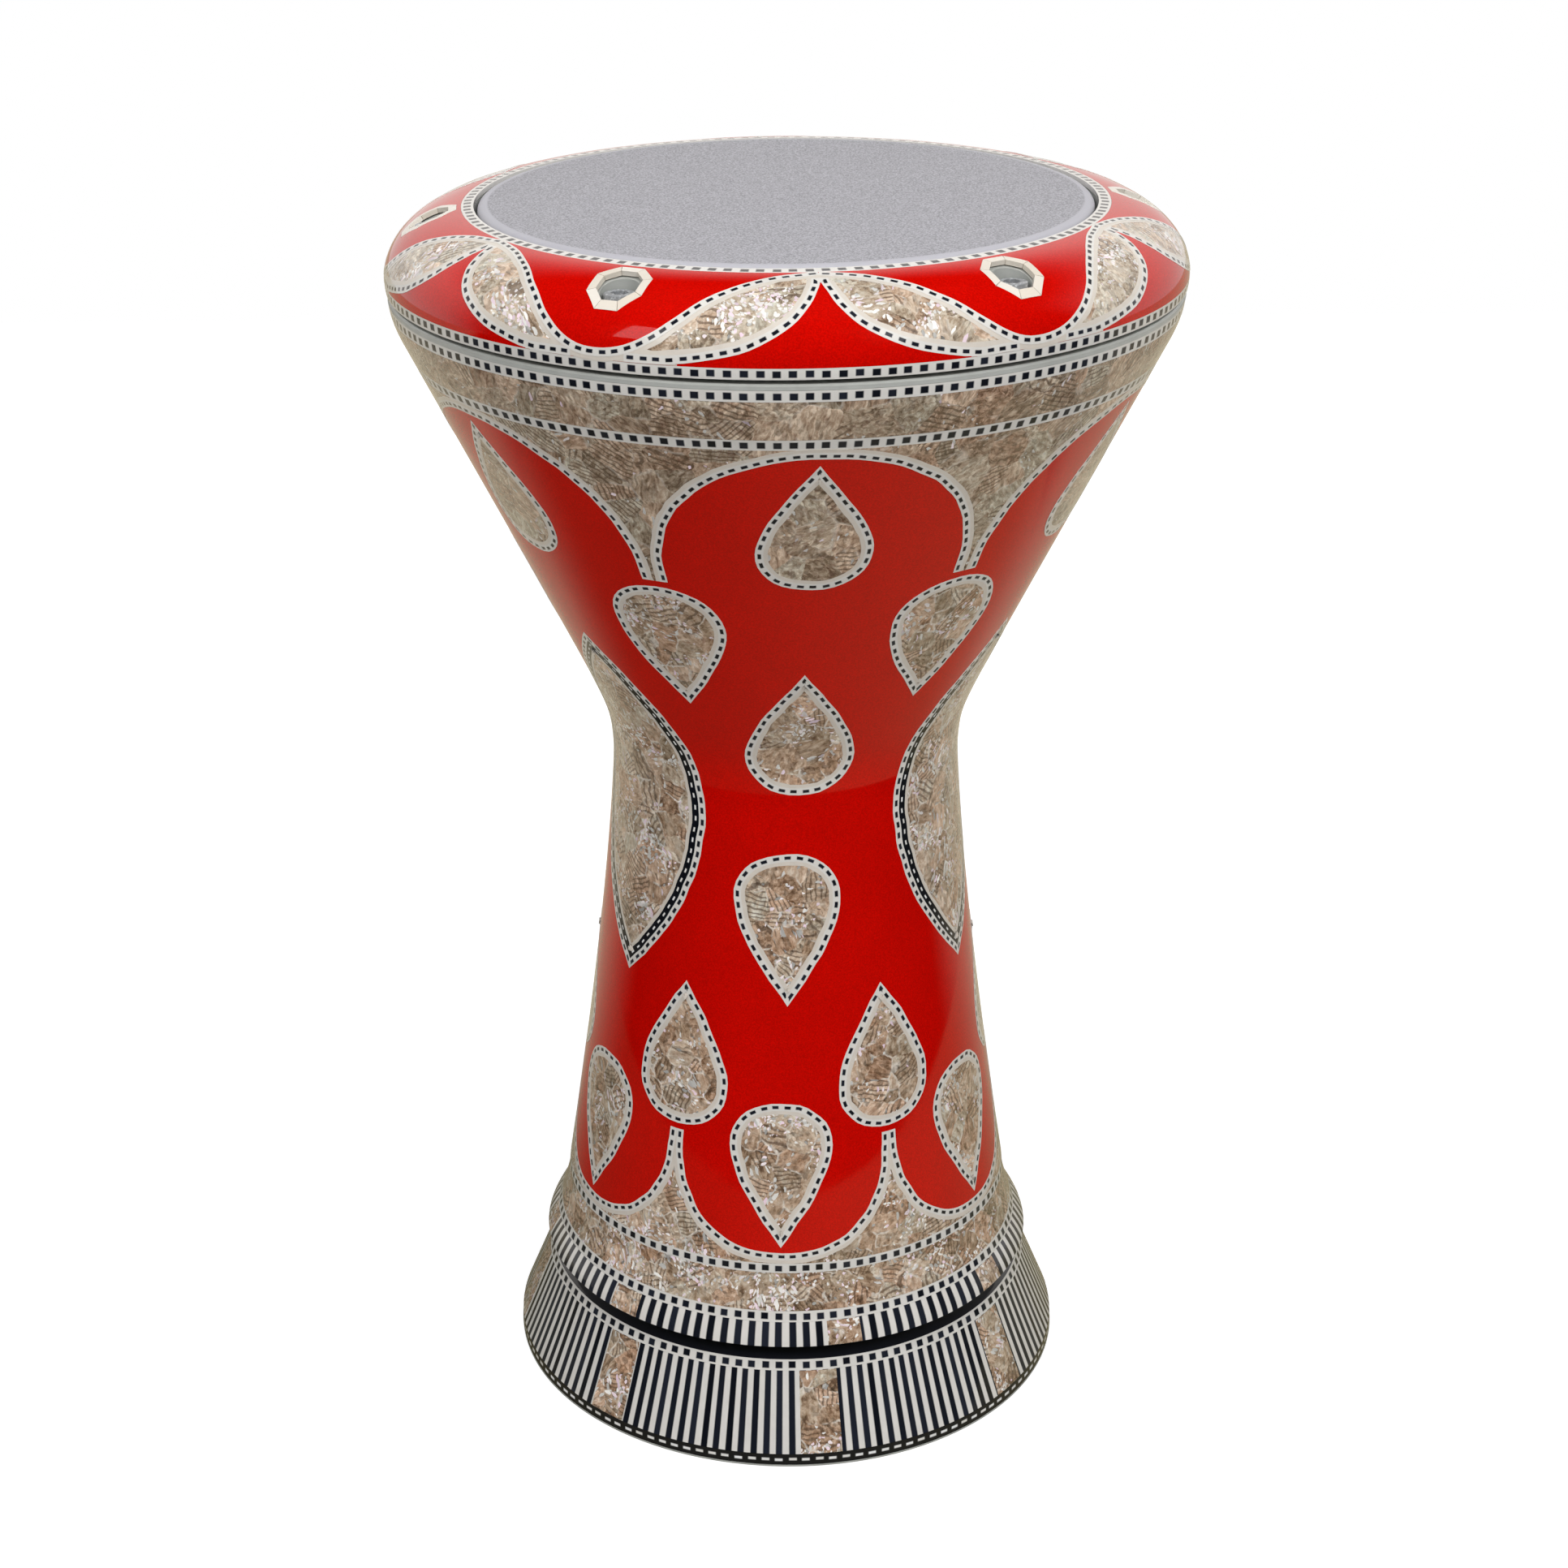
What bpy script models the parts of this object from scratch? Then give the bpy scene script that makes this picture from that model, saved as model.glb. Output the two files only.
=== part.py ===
"""Goblet drum with a bolted tuning ring and pearl inlay.

Cast aluminium shell, open at the foot. The head lies over a bearing edge inside the tuning ring, and six
socket screws pull the ring and its flesh hoop down. Red resin and pearl fill the skin of shell and ring.

Azimuth 0 is the front, at -Y, and grows towards +X. Sizes are in millimetres, turned to metres by MM.
"""

import bmesh
import bpy
from math import cos, hypot, pi, radians, sin, sqrt

MM = 0.001

# Whole drum
HEIGHT = 445.0
PATTERN_TURN = 5.3          # azimuth of the motif that faces front
REPEATS = 6
STEPS = 32                  # facets round the drum
HOLE_STEPS = 12             # facets round a screw or its hole

# Inlay skin: full depth, and the play between pieces
INLAY_DEPTH = 2.0
PLAY = 0.3
BORDER_WIDTH = 3.8
PEARL_THICK = 0.5           # pearl plates let into the resin ground
PEARL_PLAY = 0.75
GROUND_DROP = 1.3           # how far the resin lies under the finished face

# Foot, from the floor up
FOOT_RADIUS = 105.0
FOOT_FLARE = 13.7           # radius lost from the floor to the foot's top
FOOT_EDGE_HEIGHT = 1.0      # bare cast edge on the floor
FOOT_RIM_HEIGHT = 5.4       # top of the dark rim band
FOOT_TOP_RADIUS = FOOT_RADIUS - FOOT_FLARE
FOOT_TOP_HEIGHT = 37.6
GROOVE_DEPTH = 5.0
GROOVE_HEIGHT = 6.8
LIP_OVERHANG = 2.0
LIP_RADIUS = FOOT_TOP_RADIUS + LIP_OVERHANG
LIP_HEIGHT = FOOT_TOP_HEIGHT + GROOVE_HEIGHT
LIP_BAND_HEIGHT = 7.8
LIP_BAND_TOP = LIP_HEIGHT + LIP_BAND_HEIGHT
LIP_SLOPE = 4.3             # radius lost over the lip band
LIP_SLOPE_RADIUS = LIP_RADIUS - LIP_SLOPE
LIP_BORDER_TOP = LIP_BAND_TOP + BORDER_WIDTH
LOWER_PEARL_HEIGHT = 14.1
LOWER_PEARL_TOP = LIP_BORDER_TOP + LOWER_PEARL_HEIGHT
LOWER_BORDER_TOP = LOWER_PEARL_TOP + BORDER_WIDTH
STEM_INSET = 5.0            # radius lost from the lip to the stem
STEM_BASE_RADIUS = LIP_SLOPE_RADIUS - STEM_INSET
STEM_BASE_HEIGHT = LOWER_PEARL_TOP + BORDER_WIDTH / 2

# Neck and bowl
NECK_HEIGHT = 246.0
NECK_RADIUS = 62.2
NECK_TURN = 14.5            # height over the neck where the bowl's cone meets it
NECK_BLEND = 4.5            # softness of that turn
STEM_SWELL = 1.33           # power of the stem's flare
CROWN_RISE = 28.4           # from the bowl's top to the drum's top
BOWL_TOP = HEIGHT - CROWN_RISE
BOWL_TOP_RADIUS = 135.8
BOWL_ROUND = 12.0           # height of the rounding under the bowl's top
BOWL_SLOPE = (BOWL_TOP_RADIUS - NECK_RADIUS) / (BOWL_TOP - BOWL_ROUND / 2 - NECK_HEIGHT - NECK_TURN)
UPPER_BORDER_DROP = 1.9     # bare edge between the upper border and the bowl's top
UPPER_PEARL_HEIGHT = 13.5
UPPER_BORDER = (BOWL_TOP - UPPER_BORDER_DROP - BORDER_WIDTH, BOWL_TOP - UPPER_BORDER_DROP)
ARCH_BORDER = (UPPER_BORDER[0] - UPPER_PEARL_HEIGHT - BORDER_WIDTH, UPPER_BORDER[0] - UPPER_PEARL_HEIGHT)
WALL = 4.0
WEB_THICK = 6.2
WEB_FILLET = 3.4            # set back of the inner corner under the web

# Heights that share out the stem, and that follow the turn of the neck
STEM_SHARES = (0.0, 0.27, 0.56, 0.80, 0.965)
NECK_STATIONS = (6.0, 14.0, 22.0, 38.0)
FIELD_HEIGHTS = [LOWER_BORDER_TOP + (NECK_HEIGHT - LOWER_BORDER_TOP) * share for share in STEM_SHARES]
FIELD_HEIGHTS += [NECK_HEIGHT + rise for rise in NECK_STATIONS] + [ARCH_BORDER[0]]

UPPER_PEARL_MIDDLE = (ARCH_BORDER[1] + UPPER_BORDER[0]) / 2
LOWER_PEARL_MIDDLE = (LIP_BORDER_TOP + LOWER_PEARL_TOP) / 2

# Bearing edge and head
RIM_SPAN = 32.2             # from the bowl's outside in to the bearing edge
EDGE_OUTER = BOWL_TOP_RADIUS - RIM_SPAN
EDGE_THICK = 5.0
EDGE_ROUND = 3.0
FILM_THICK = 0.4
FILM_GAP = 0.2
FILM_OUTER = EDGE_OUTER + FILM_GAP + FILM_THICK
FILM_SKIRT = 21.5           # how far the film hangs down over the edge
FILM_SKIRT_END = HEIGHT - FILM_SKIRT

# Tuning ring: its section is a quarter ellipse
RING_GAP = 1.5              # between shell and ring at rest
RING_BOTTOM = BOWL_TOP + RING_GAP
RING_BAND_HEIGHT = 3.6
LOWER_BAND_TOP = RING_BOTTOM + RING_BAND_HEIGHT
RING_CREST_DROP = 0.3       # how far the ring's crest lies under the head
RING_INNER = FILM_OUTER + 1.2
RING_AXIS_RADIUS = RING_INNER - 1.4
RING_AXIS_HEIGHT = RING_BOTTOM + 3.4
RING_OVERHANG = 0.8
RING_REACH = BOWL_TOP_RADIUS + RING_OVERHANG - RING_AXIS_RADIUS
RING_WALL = 4.5
RIM_WIDTH = 5.6
HOOP_DROP = 13.0            # from the drum's top down to the hoop
HOOP_TOP = HEIGHT - HOOP_DROP
HOOP_HEIGHT = 6.0
HOOP_WIDTH = 5.5
HOOP_INNER = FILM_OUTER + 0.7
HOOP_OUTER = HOOP_INNER + HOOP_WIDTH
INNER_BORDER_WIDTH = 4.2
INNER_BORDER_OUTER = RING_INNER + INNER_BORDER_WIDTH

# Tuning screws: M6 x 30 with socket heads
BOLT_CIRCLE = (RING_INNER + BOWL_TOP_RADIUS) / 2
BOLT_SHANK = 2.85           # turns freely inside the faceted hole
BOLT_HOLE = 3.05
BOLT_CLEAR = 3.3
BOLT_LENGTH = 30.0
BOLT_SEAT_GAP = 0.1
HEAD_RADIUS = 5.0
HEAD_HEIGHT = 6.0
SOCKET_ACROSS = 5.0
SOCKET_DEPTH = 3.2
POCKET_RADIUS = 6.3
POCKET_DEPTH = 12.5         # from the drum's top down to the screw's seat
POCKET_FLOOR = HEIGHT - POCKET_DEPTH
RING_BOSS_RADIUS = 9.0
RING_BOSS_HEIGHT = 8.5
RING_BOSS_BOTTOM = POCKET_FLOOR - RING_BOSS_HEIGHT
SHELL_BOSS_RADIUS = 7.0
SHELL_BOSS_HEIGHT = 9.9
SHELL_BOSS_BOTTOM = BOWL_TOP - WEB_THICK - SHELL_BOSS_HEIGHT

# Bolt windows: octagons of pale tiles round each pocket
WINDOW_INNER = 7.2
WINDOW_OUTER = 10.2

# Colours, linear
ALUMINIUM = (0.60, 0.61, 0.63)
STEEL = (0.23, 0.24, 0.26)
RED = (0.60, 0.010, 0.005)
PEARL = (0.50, 0.44, 0.37)
IVORY = (0.75, 0.72, 0.62)
BLACK = (0.012, 0.012, 0.018)
FILM = (0.38, 0.38, 0.41)


def new_material(name, colour, roughness, metallic=0.0):
    material = bpy.data.materials.new(name)
    material.use_nodes = True
    shader = material.node_tree.nodes["Principled BSDF"]
    shader.inputs["Base Color"].default_value = (*colour, 1.0)
    shader.inputs["Roughness"].default_value = roughness
    shader.inputs["Metallic"].default_value = metallic
    material.diffuse_color = (*colour, 1.0)
    return material


def polar(azimuth, radius, height):
    """A point in metres from its azimuth in degrees and sizes in millimetres."""
    turn = radians(azimuth)
    return (radius * sin(turn) * MM, -radius * cos(turn) * MM, height * MM)


def smooth_ramp(value, softness):
    """0 far below zero, value far above it, with a round turn between."""
    return 0.5 * (value + sqrt(value * value + softness * softness))


def shell_radius(height):
    """Radius of the finished face from the foot to the bowl's top."""
    if height <= FOOT_RIM_HEIGHT:
        return FOOT_RADIUS - 0.06 * height
    if height <= FOOT_TOP_HEIGHT:
        share = (height - FOOT_RIM_HEIGHT) / (FOOT_TOP_HEIGHT - FOOT_RIM_HEIGHT)
        start = FOOT_RADIUS - 0.06 * FOOT_RIM_HEIGHT
        return start + (FOOT_TOP_RADIUS - start) * share
    if height < LIP_HEIGHT:
        share = (height - FOOT_TOP_HEIGHT) / (LIP_HEIGHT - FOOT_TOP_HEIGHT)
        chord = FOOT_TOP_RADIUS + (LIP_RADIUS - FOOT_TOP_RADIUS) * share
        return chord - GROOVE_DEPTH * sin(pi * share)
    if height <= LIP_BAND_TOP:
        share = (height - LIP_HEIGHT) / (LIP_BAND_TOP - LIP_HEIGHT)
        return LIP_RADIUS + (LIP_SLOPE_RADIUS - LIP_RADIUS) * share ** 1.25
    if height <= STEM_BASE_HEIGHT:
        share = (STEM_BASE_HEIGHT - height) / (STEM_BASE_HEIGHT - LIP_BAND_TOP)
        return STEM_BASE_RADIUS + (LIP_SLOPE_RADIUS - STEM_BASE_RADIUS) * share ** 1.6
    if height <= NECK_HEIGHT:
        share = (NECK_HEIGHT - height) / (NECK_HEIGHT - STEM_BASE_HEIGHT)
        waist = bowl_radius(NECK_HEIGHT)
        return waist + (STEM_BASE_RADIUS - waist) * share ** STEM_SWELL
    return bowl_radius(height)


def bowl_radius(height):
    """Radius of neck and bowl: a cone, softened into the neck and rounded under the top."""
    drop = BOWL_TOP - min(height, BOWL_TOP)
    if drop < BOWL_ROUND:
        return BOWL_TOP_RADIUS - BOWL_SLOPE * drop * drop / (2 * BOWL_ROUND)
    cone = BOWL_TOP_RADIUS - BOWL_SLOPE * (drop - BOWL_ROUND / 2)
    return NECK_RADIUS + smooth_ramp(cone - NECK_RADIUS, NECK_BLEND)


def shell_point(height, depth):
    """Point of the shell's section at a height, depth being square to the finished face."""
    step = 0.05
    slope = (shell_radius(height + step) - shell_radius(height - step)) / (2 * step)
    slope = max(-0.8, min(0.8, slope))
    return (shell_radius(height) - depth * hypot(1.0, slope), height)


def ring_point(angle, depth):
    """Point of the ring's section: angle 0 is its widest, 90 its crest."""
    turn = radians(angle)
    reach = RING_REACH
    rise = HEIGHT - RING_CREST_DROP - RING_AXIS_HEIGHT
    normal = (cos(turn) / reach, sin(turn) / rise)
    length = hypot(*normal)
    return (RING_AXIS_RADIUS + reach * cos(turn) - depth * normal[0] / length,
            RING_AXIS_HEIGHT + rise * sin(turn) - depth * normal[1] / length)


def ring_angle(radius=None, height=None):
    """Angle on the ring's finished face at a radius, or at a height on its skirt."""
    low, high = (-30.0, 90.0)
    for _ in range(50):
        middle = 0.5 * (low + high)
        point = ring_point(middle, 0.0)
        above = point[0] < radius if radius is not None else point[1] > height
        if above and (radius is None or middle > 0):
            high = middle
        else:
            low = middle
    return 0.5 * (low + high)


CREST_ANGLE = ring_angle(radius=RING_INNER)
BORDER_ANGLE = ring_angle(radius=INNER_BORDER_OUTER)
BAND_ANGLE = ring_angle(height=LOWER_BAND_TOP)
SKIRT_ANGLE = ring_angle(height=RING_BOTTOM)


def spread(start, end, count):
    return [start + (end - start) * index / (count - 1) for index in range(count)]


def finish(obj, material, parent=None):
    bpy.context.scene.collection.objects.link(obj)
    if material is not None:
        obj.data.materials.append(material)
    if parent is not None:
        obj.parent = parent
    return obj


def revolve(name, section, material, parent=None, centre=None, steps=STEPS):
    """Closed section of (radius, height) turned round the vertical axis through centre."""
    mesh = bpy.data.meshes.new(name)
    points = [(radius * MM, 0.0, height * MM) for radius, height in section]
    on_axis = abs(section[0][0]) < 1e-6 and abs(section[-1][0]) < 1e-6
    count = len(points)
    edges = [(index, index + 1) for index in range(count - 1)]
    if not on_axis:
        edges.append((count - 1, 0))
    mesh.from_pydata(points, edges, [])
    obj = finish(bpy.data.objects.new(name, mesh), material, parent)
    if centre is not None:
        obj.location = centre
    screw = obj.modifiers.new("Turn", "SCREW")
    screw.steps = steps
    screw.render_steps = steps
    screw.use_merge_vertices = True
    screw.merge_threshold = 0.00001
    screw.use_smooth_shade = False
    return obj


def skin(name, heights, depth_out, depth_in, material, parent=None):
    """Revolved skin of the shell between two depths, ends cut level."""
    outer = [shell_point(height, depth_out) for height in reversed(heights)]
    inner = [shell_point(height, depth_in) for height in heights]
    return revolve(name, outer + inner, material, parent)


def ring_skin(name, angles, depth_out, depth_in, material, parent):
    """Revolved skin of the ring; angles run from the crest down."""
    outer = [ring_point(angle, depth_out) for angle in angles]
    inner = [ring_point(angle, depth_in) for angle in reversed(angles)]
    return revolve(name, outer + inner, material, parent)


def cutter(name, build):
    """Hidden helper whose mesh is filled by build(bm)."""
    mesh = bpy.data.meshes.new(name)
    bm = bmesh.new()
    build(bm)
    bmesh.ops.recalc_face_normals(bm, faces=bm.faces)
    bm.to_mesh(mesh)
    bm.free()
    obj = finish(bpy.data.objects.new(name, mesh), None)
    obj.hide_render = True
    obj.display_type = "WIRE"
    return obj


def boolean(obj, tool, operation):
    step = obj.modifiers.new(tool.name, "BOOLEAN")
    step.operation = operation
    step.solver = "EXACT"
    step.object = tool


def prism(bm, centre, low, high, radius, sides, turn=0.0):
    """Upright prism round centre, an (x, y) in metres; heights and radius in millimetres."""
    rings = []
    for height in (low, high):
        rings.append([bm.verts.new((centre[0] + radius * MM * cos(turn + 2 * pi * side / sides),
                                    centre[1] + radius * MM * sin(turn + 2 * pi * side / sides),
                                    height * MM)) for side in range(sides)])
    bm.faces.new(list(reversed(rings[0])))
    bm.faces.new(rings[1])
    for side in range(sides):
        after = (side + 1) % sides
        bm.faces.new((rings[0][side], rings[0][after], rings[1][after], rings[1][side]))
    return rings


def bolt_azimuths():
    return [PATTERN_TURN - 30.0 + index * 360.0 / REPEATS for index in range(REPEATS)]


def motif_azimuths(shift=0.0, count=REPEATS):
    return [PATTERN_TURN + shift + index * 360.0 / count for index in range(count)]


def plate(name, rows, columns, place, material, parent=None):
    """Thin curved plate. rows are (along, left, right); place(along, across, depth) gives a point."""
    mesh = bpy.data.meshes.new(name)
    bm = bmesh.new()
    faces = []
    layers = []
    for depth in (GROUND_DROP - PEARL_PLAY, GROUND_DROP - PEARL_PLAY - PEARL_THICK):
        layer = []
        for along, left, right in rows:
            layer.append([bm.verts.new(place(along, across, depth))
                          for across in spread(left, right, columns + 1)])
        layers.append(layer)
    last = len(rows) - 1
    for row in range(last):
        for column in range(columns):
            for layer in layers:
                faces.append((layer[row][column], layer[row][column + 1],
                              layer[row + 1][column + 1], layer[row + 1][column]))
        for column in (0, columns):
            faces.append((layers[0][row][column], layers[0][row + 1][column],
                          layers[1][row + 1][column], layers[1][row][column]))
    for row in (0, last):
        for column in range(columns):
            faces.append((layers[0][row][column], layers[0][row][column + 1],
                          layers[1][row][column + 1], layers[1][row][column]))
    for face in faces:
        bm.faces.new(face)
    bmesh.ops.recalc_face_normals(bm, faces=bm.faces)
    bm.to_mesh(mesh)
    bm.free()
    return finish(bpy.data.objects.new(name, mesh), material, parent)


def bezier(start, first, second, end, share):
    rest = 1.0 - share
    return tuple(rest ** 3 * a + 3 * rest ** 2 * share * b + 3 * rest * share ** 2 * c + share ** 3 * d
                 for a, b, c, d in zip(start, first, second, end))


def drop_rows(tip, heel, half_width, count=6):
    """Teardrop outline as rows: height, and the half width on each side of its middle line."""
    length = heel - tip
    wide = 0.70
    rows = []
    for share in spread(0.06, 1.0, count)[:-1]:
        width, along = bezier((0, 0), (0.45, 0.22), (1, 0.50), (1, wide), share)
        rows.append((tip + length * along, width * half_width))
    for share in spread(0.0, 0.94, count - 2):
        width, along = bezier((1, wide), (1, 0.88), (0.60, 1), (0, 1), share)
        rows.append((tip + length * along, width * half_width))
    return rows


# Shell: one casting with foot, stem, bowl, web, bearing edge and six tapped bosses

def build_shell(material):
    film_under = HEIGHT - FILM_THICK - FILM_GAP
    section = [(EDGE_OUTER - EDGE_THICK, film_under)]
    section += [(EDGE_OUTER - EDGE_ROUND + EDGE_ROUND * sin(turn),
                 film_under - EDGE_ROUND + EDGE_ROUND * cos(turn))
                for turn in spread(0.0, pi / 2, 4)]
    section.append((EDGE_OUTER, BOWL_TOP))
    section.append((shell_point(BOWL_TOP - PLAY, INLAY_DEPTH)[0], BOWL_TOP))
    band_heights = [UPPER_BORDER[0], UPPER_PEARL_MIDDLE, ARCH_BORDER[1]]
    section += [shell_point(height, INLAY_DEPTH) for height in band_heights]
    section += [shell_point(height, INLAY_DEPTH) for height in reversed(FIELD_HEIGHTS)]
    section += [shell_point(height, INLAY_DEPTH) for height in (STEM_BASE_HEIGHT, LOWER_PEARL_MIDDLE)]
    section.append(shell_point(LIP_BAND_TOP, INLAY_DEPTH))
    section.append(shell_point(LIP_HEIGHT + 1.6, INLAY_DEPTH + 0.3))
    groove_floor = FOOT_TOP_RADIUS - GROOVE_DEPTH - INLAY_DEPTH + 0.6
    section.append((groove_floor, LIP_HEIGHT - 1.4))
    section.append((groove_floor, FOOT_TOP_HEIGHT + 2.4))
    section.append(shell_point(FOOT_TOP_HEIGHT - 1.0, INLAY_DEPTH))
    section.append(shell_point(FOOT_RIM_HEIGHT + 0.2, INLAY_DEPTH))
    section.append((FOOT_RADIUS - INLAY_DEPTH, FOOT_EDGE_HEIGHT))
    section.append((FOOT_RADIUS, FOOT_EDGE_HEIGHT))
    section.append((FOOT_RADIUS, 0.0))
    depth = INLAY_DEPTH + WALL
    section.append((FOOT_RADIUS - depth, 0.0))
    section.append((groove_floor - WALL + 1.0, FOOT_TOP_HEIGHT))
    section.append((groove_floor - WALL, LIP_BAND_TOP))
    bore = [STEM_BASE_HEIGHT + (NECK_HEIGHT - STEM_BASE_HEIGHT) * share for share in (0, 0.33, 0.68, 1)]
    bore += [NECK_HEIGHT + rise for rise in (12, 24, 44)] + [BOWL_TOP - WEB_THICK - 2 * WEB_FILLET]
    section += [shell_point(height, depth) for height in bore]
    section.append((shell_point(BOWL_TOP - WEB_THICK, depth)[0] - WEB_FILLET, BOWL_TOP - WEB_THICK))
    section.append((EDGE_OUTER - EDGE_THICK, BOWL_TOP - WEB_THICK))
    shell = revolve("shell_casting", section, material)

    def bosses(bm):
        for azimuth in bolt_azimuths():
            centre = polar(azimuth, BOLT_CIRCLE, 0)
            prism(bm, centre, SHELL_BOSS_BOTTOM, BOWL_TOP - WEB_THICK / 2, SHELL_BOSS_RADIUS,
                  HOLE_STEPS)

    def holes(bm):
        for azimuth in bolt_azimuths():
            centre = polar(azimuth, BOLT_CIRCLE, 0)
            prism(bm, centre, SHELL_BOSS_BOTTOM - 5, BOWL_TOP + 5, BOLT_HOLE,
                  HOLE_STEPS)

    boolean(shell, cutter("cut_shell_bosses", bosses), "UNION")
    boolean(shell, cutter("cut_shell_threads", holes), "DIFFERENCE")
    return shell


def build_shell_inlay(materials):
    deep = INLAY_DEPTH - PLAY
    gap = PLAY / 2
    bands = [
        ("upper_border_band", "ivory", [UPPER_BORDER[0], BOWL_TOP]),
        ("upper_pearl_band", "pearl", [ARCH_BORDER[1], UPPER_PEARL_MIDDLE, UPPER_BORDER[0]]),
        ("arch_border_band", "ivory", list(ARCH_BORDER)),
        ("lower_border_band", "ivory", [LOWER_PEARL_TOP, LOWER_BORDER_TOP]),
        ("lower_pearl_band", "pearl", [LIP_BORDER_TOP, LOWER_PEARL_MIDDLE, LOWER_PEARL_TOP]),
        ("lip_border_band", "ivory", [LIP_BAND_TOP, LIP_BORDER_TOP]),
        ("lip_stripe_band", "ivory", [LIP_HEIGHT, LIP_HEIGHT + LIP_BAND_HEIGHT * 0.4, LIP_BAND_TOP]),
        ("foot_border_band", "ivory", [FOOT_TOP_HEIGHT - BORDER_WIDTH, FOOT_TOP_HEIGHT]),
        ("foot_stripe_band", "ivory", [FOOT_RIM_HEIGHT, FOOT_TOP_HEIGHT - BORDER_WIDTH]),
        ("foot_rim_band", "black", [FOOT_EDGE_HEIGHT, FOOT_RIM_HEIGHT]),
    ]
    for name, finish_name, heights in bands:
        heights = [heights[0] + gap] + heights[1:-1] + [heights[-1] - gap]
        skin(name, heights, 0.0, deep, materials[finish_name])
    ground = [FIELD_HEIGHTS[0] + gap] + FIELD_HEIGHTS[1:-1] + [FIELD_HEIGHTS[-1] - gap]
    skin("resin_ground", ground, GROUND_DROP, deep, materials["red"])

    # The dark cove under the lip, as a ring with a hollow face
    low, high = FOOT_TOP_HEIGHT + gap, LIP_HEIGHT - gap
    heights = spread(low, high, 4)
    outer = [(shell_radius(height), height) for height in reversed(heights)]
    floor = FOOT_TOP_RADIUS - GROOVE_DEPTH - INLAY_DEPTH + 0.6 + PLAY
    inner = [(FOOT_TOP_RADIUS - INLAY_DEPTH + 0.4, low), (floor, FOOT_TOP_HEIGHT + 2.7),
             (floor, LIP_HEIGHT - 1.7), (LIP_RADIUS - INLAY_DEPTH - 1.0, high)]
    revolve("groove_band", outer + inner, materials["black"])


def on_shell(azimuth):
    """Placing function for plates on the shell: along is a height, across an arc length."""
    def place(along, across, depth):
        radius, height = shell_point(along, depth)
        return polar(azimuth + across / shell_radius(along) * 180.0 / pi, radius, height)
    return place


ARCH_TOP = ARCH_BORDER[0] - 2.1     # height of the arches' crown
ARCH_HEIGHT = 50.6
ARCH_FOOT = ARCH_TOP - ARCH_HEIGHT
ARCH_HALF_ANGLE = 28.3
ARCH_DROP = (ARCH_TOP - 5.6, ARCH_FOOT - 0.7, 18.0)
SPANDREL_SHARES = (0.03, 0.07, 0.13, 0.24, 0.43, 0.68, 0.96)
LEAVES = 3
LEAF_BOTTOM = NECK_HEIGHT - 71.0
LEAF_TOP = ARCH_FOOT - 38.0
LEAF_MIDDLE = (LEAF_BOTTOM + LEAF_TOP) / 2
LEAF_HALF_HEIGHT = (LEAF_TOP - LEAF_BOTTOM) / 2
LEAF_HALF_ANGLE = 27.0


def build_shell_pearl(material):
    for index, azimuth in enumerate(motif_azimuths()):
        tip, heel, half = ARCH_DROP
        rows = [(height, -width, width) for height, width in drop_rows(tip, heel, half)]
        plate(f"arch_drop_{index + 1}", rows, 3, on_shell(azimuth), material)
    for index, azimuth in enumerate(motif_azimuths(180.0 / REPEATS)):
        rows = []
        for drop in SPANDREL_SHARES:
            share = 1.0 - drop
            height = ARCH_FOOT + ARCH_HEIGHT * share
            arch = ARCH_HALF_ANGLE * sqrt(max(0.0, 1.0 - share * share))
            half = radians(180.0 / REPEATS - arch) * shell_radius(height) - 1.2
            rows.append((height, -half, half))
        plate(f"pearl_spandrel_{index + 1}", rows, 6, on_shell(azimuth), material)
    for index, azimuth in enumerate(motif_azimuths(60.0, LEAVES)):
        rows = []
        for share in spread(-0.96, 0.96, 8):
            height = LEAF_MIDDLE + LEAF_HALF_HEIGHT * share
            half = radians(LEAF_HALF_ANGLE * (1.0 - share * share)) * shell_radius(height)
            rows.append((height, -half, half))
        plate(f"neck_leaf_{index + 1}", rows, 4, on_shell(azimuth), material)


# Tuning ring, its inlay and the flesh hoop move as one

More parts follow.
